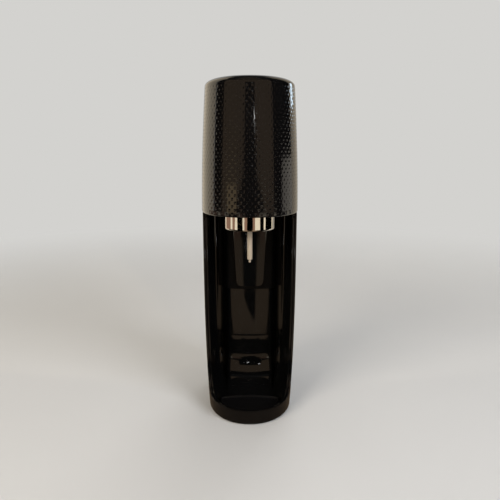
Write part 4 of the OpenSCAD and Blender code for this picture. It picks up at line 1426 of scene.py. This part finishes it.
# Cards between two azimuths: name, paint, glow, first and last azimuth, then (distance, height) places.
# Those on the floor lie a little over one another.
for name, paint, glow, first, last, *places in (
    ("front_dark", VELVET, 0.0, -97, 97, (1.69, 0.0), (1.69, 3.2)),
    ("front_warm", WARM, 0.58, -72, 60, (1.6, 0.0), (1.6, 1.28), (1.45, 1.78)),
    ("ceiling_warm", WARM, 0.58, -72, 60, (1.05, 2.8), (0.0, 2.95)),
    ("left_sand", SAND, 1.6, -57, -31, (1.5, 0.0), (1.5, 0.24)),
    ("left_beige", BEIGE, 1.6, -156, -100, (0.13, 0.002), (1.68, 0.002), (1.68, 3.0)),
    ("right_grey", GREY, 1.3, 86, 120, (0.13, 0.003), (1.66, 0.003), (1.66, 0.35)),
    ("right_dark", VELVET, 0.0, 97, 122, (1.67, 0.35), (1.67, 3.2)),
    ("right_beige", BEIGE, 0.9, 122, 158, (0.13, 0.002), (1.68, 0.002), (1.68, 3.0)),
    ("right_strip", COOL_WHITE, 6.0, 128, 138, (1.66, 0.57), (1.66, 0.85)),
    ("head_glint", WHITE, 14.0, 9, 11, (1.1, 0.482), (1.1, 0.517)),
    ("bowl_glint", WHITE, 16.0, -3, -1.2, (0.35, 0.14), (0.35, 0.152)),
    ("floor_near", WARM, 0.2, -110, 110, (0.02, 0.0015), (0.13, 0.0015)),
    ("floor_dark", VELVET, 0.0, -100, 100, (0.13, 0.002), (1.69, 0.002)),
    ("floor_warm", WARM, 0.6, -28, 28, (0.185, 0.004), (1.22, 0.004)),
    ("belt_dark", VELVET, 0.0, -116, 117, (1.21, 0.0), (1.21, BELT_TOP)),
):
    card(name, paint, glow, *[(distance, z, first, last) for distance, z in places])

# Two dark cards that narrow: one upright, one on the floor
card(
    "centre_dark",
    VELVET,
    0.0,
    (1.3, 0.0, -31, 33),
    (1.3, 0.18, -31, 33),
    (1.3, 0.29, -13, 14),
    (1.3, 0.68, -11, 11),
)
card("floor_wedge", VELVET, 0.0, (0.27, 0.006, 5, 8), (0.42, 0.006, -8, 8), (1.2, 0.006, -9, 9))

# Strips in front of the low dark belt, which give the polished ring its upright streaks
for paint, glow, spans in (
    (CREAM, 1.3, ((-86, -76), (-63, -52), (-29, -22), (21, 42), (59, 67), (103, 110))),
    (TAN, 0.85, ((-116, -86), (-76, -63), (-22, -11), (12, 21))),
):
    for first, last in spans:
        card(f"belt_{first}_{last}", paint, glow, (1.2, 0.0, first, last), (1.2, BELT_TOP, first, last))

# Soft lamps: name, place, width, height, radiance and colour
for lamp in (
    ("front_left", polar(-42, 1.6, 1.0), 1.0, 0.8, 8, "#FFF6EA"),
    ("front_right", polar(46, 1.6, 0.95), 1.0, 0.8, 8, "#F4F7FF"),
    ("rear_soft", polar(165, 1.7, 1.6), 1.0, 0.8, 5, WHITE),
    ("overhead", (0, 0.35, 2.8), 1.3, 1.0, 2, WHITE),
):
    softbox(*lamp)

world = bpy.data.worlds.new("studio")
bpy.context.scene.world = world
world.use_nodes = True
world.node_tree.nodes["Background"].inputs["Color"].default_value = linear(WORLD)

camera_data = bpy.data.cameras.new("photo_camera")
camera_data.sensor_width = 36
camera_data.lens = 37.69
camera_data.shift_x = 0.0004
camera_data.shift_y = 0.0036
camera = bpy.data.objects.new("photo_camera", camera_data)
camera.location = CAMERA_PLACE
camera.rotation_euler = (math.radians(90 - CAMERA_PITCH), 0, 0)
bpy.context.scene.collection.objects.link(camera)
bpy.context.scene.camera = camera
bpy.context.scene.view_settings.view_transform = "Standard"
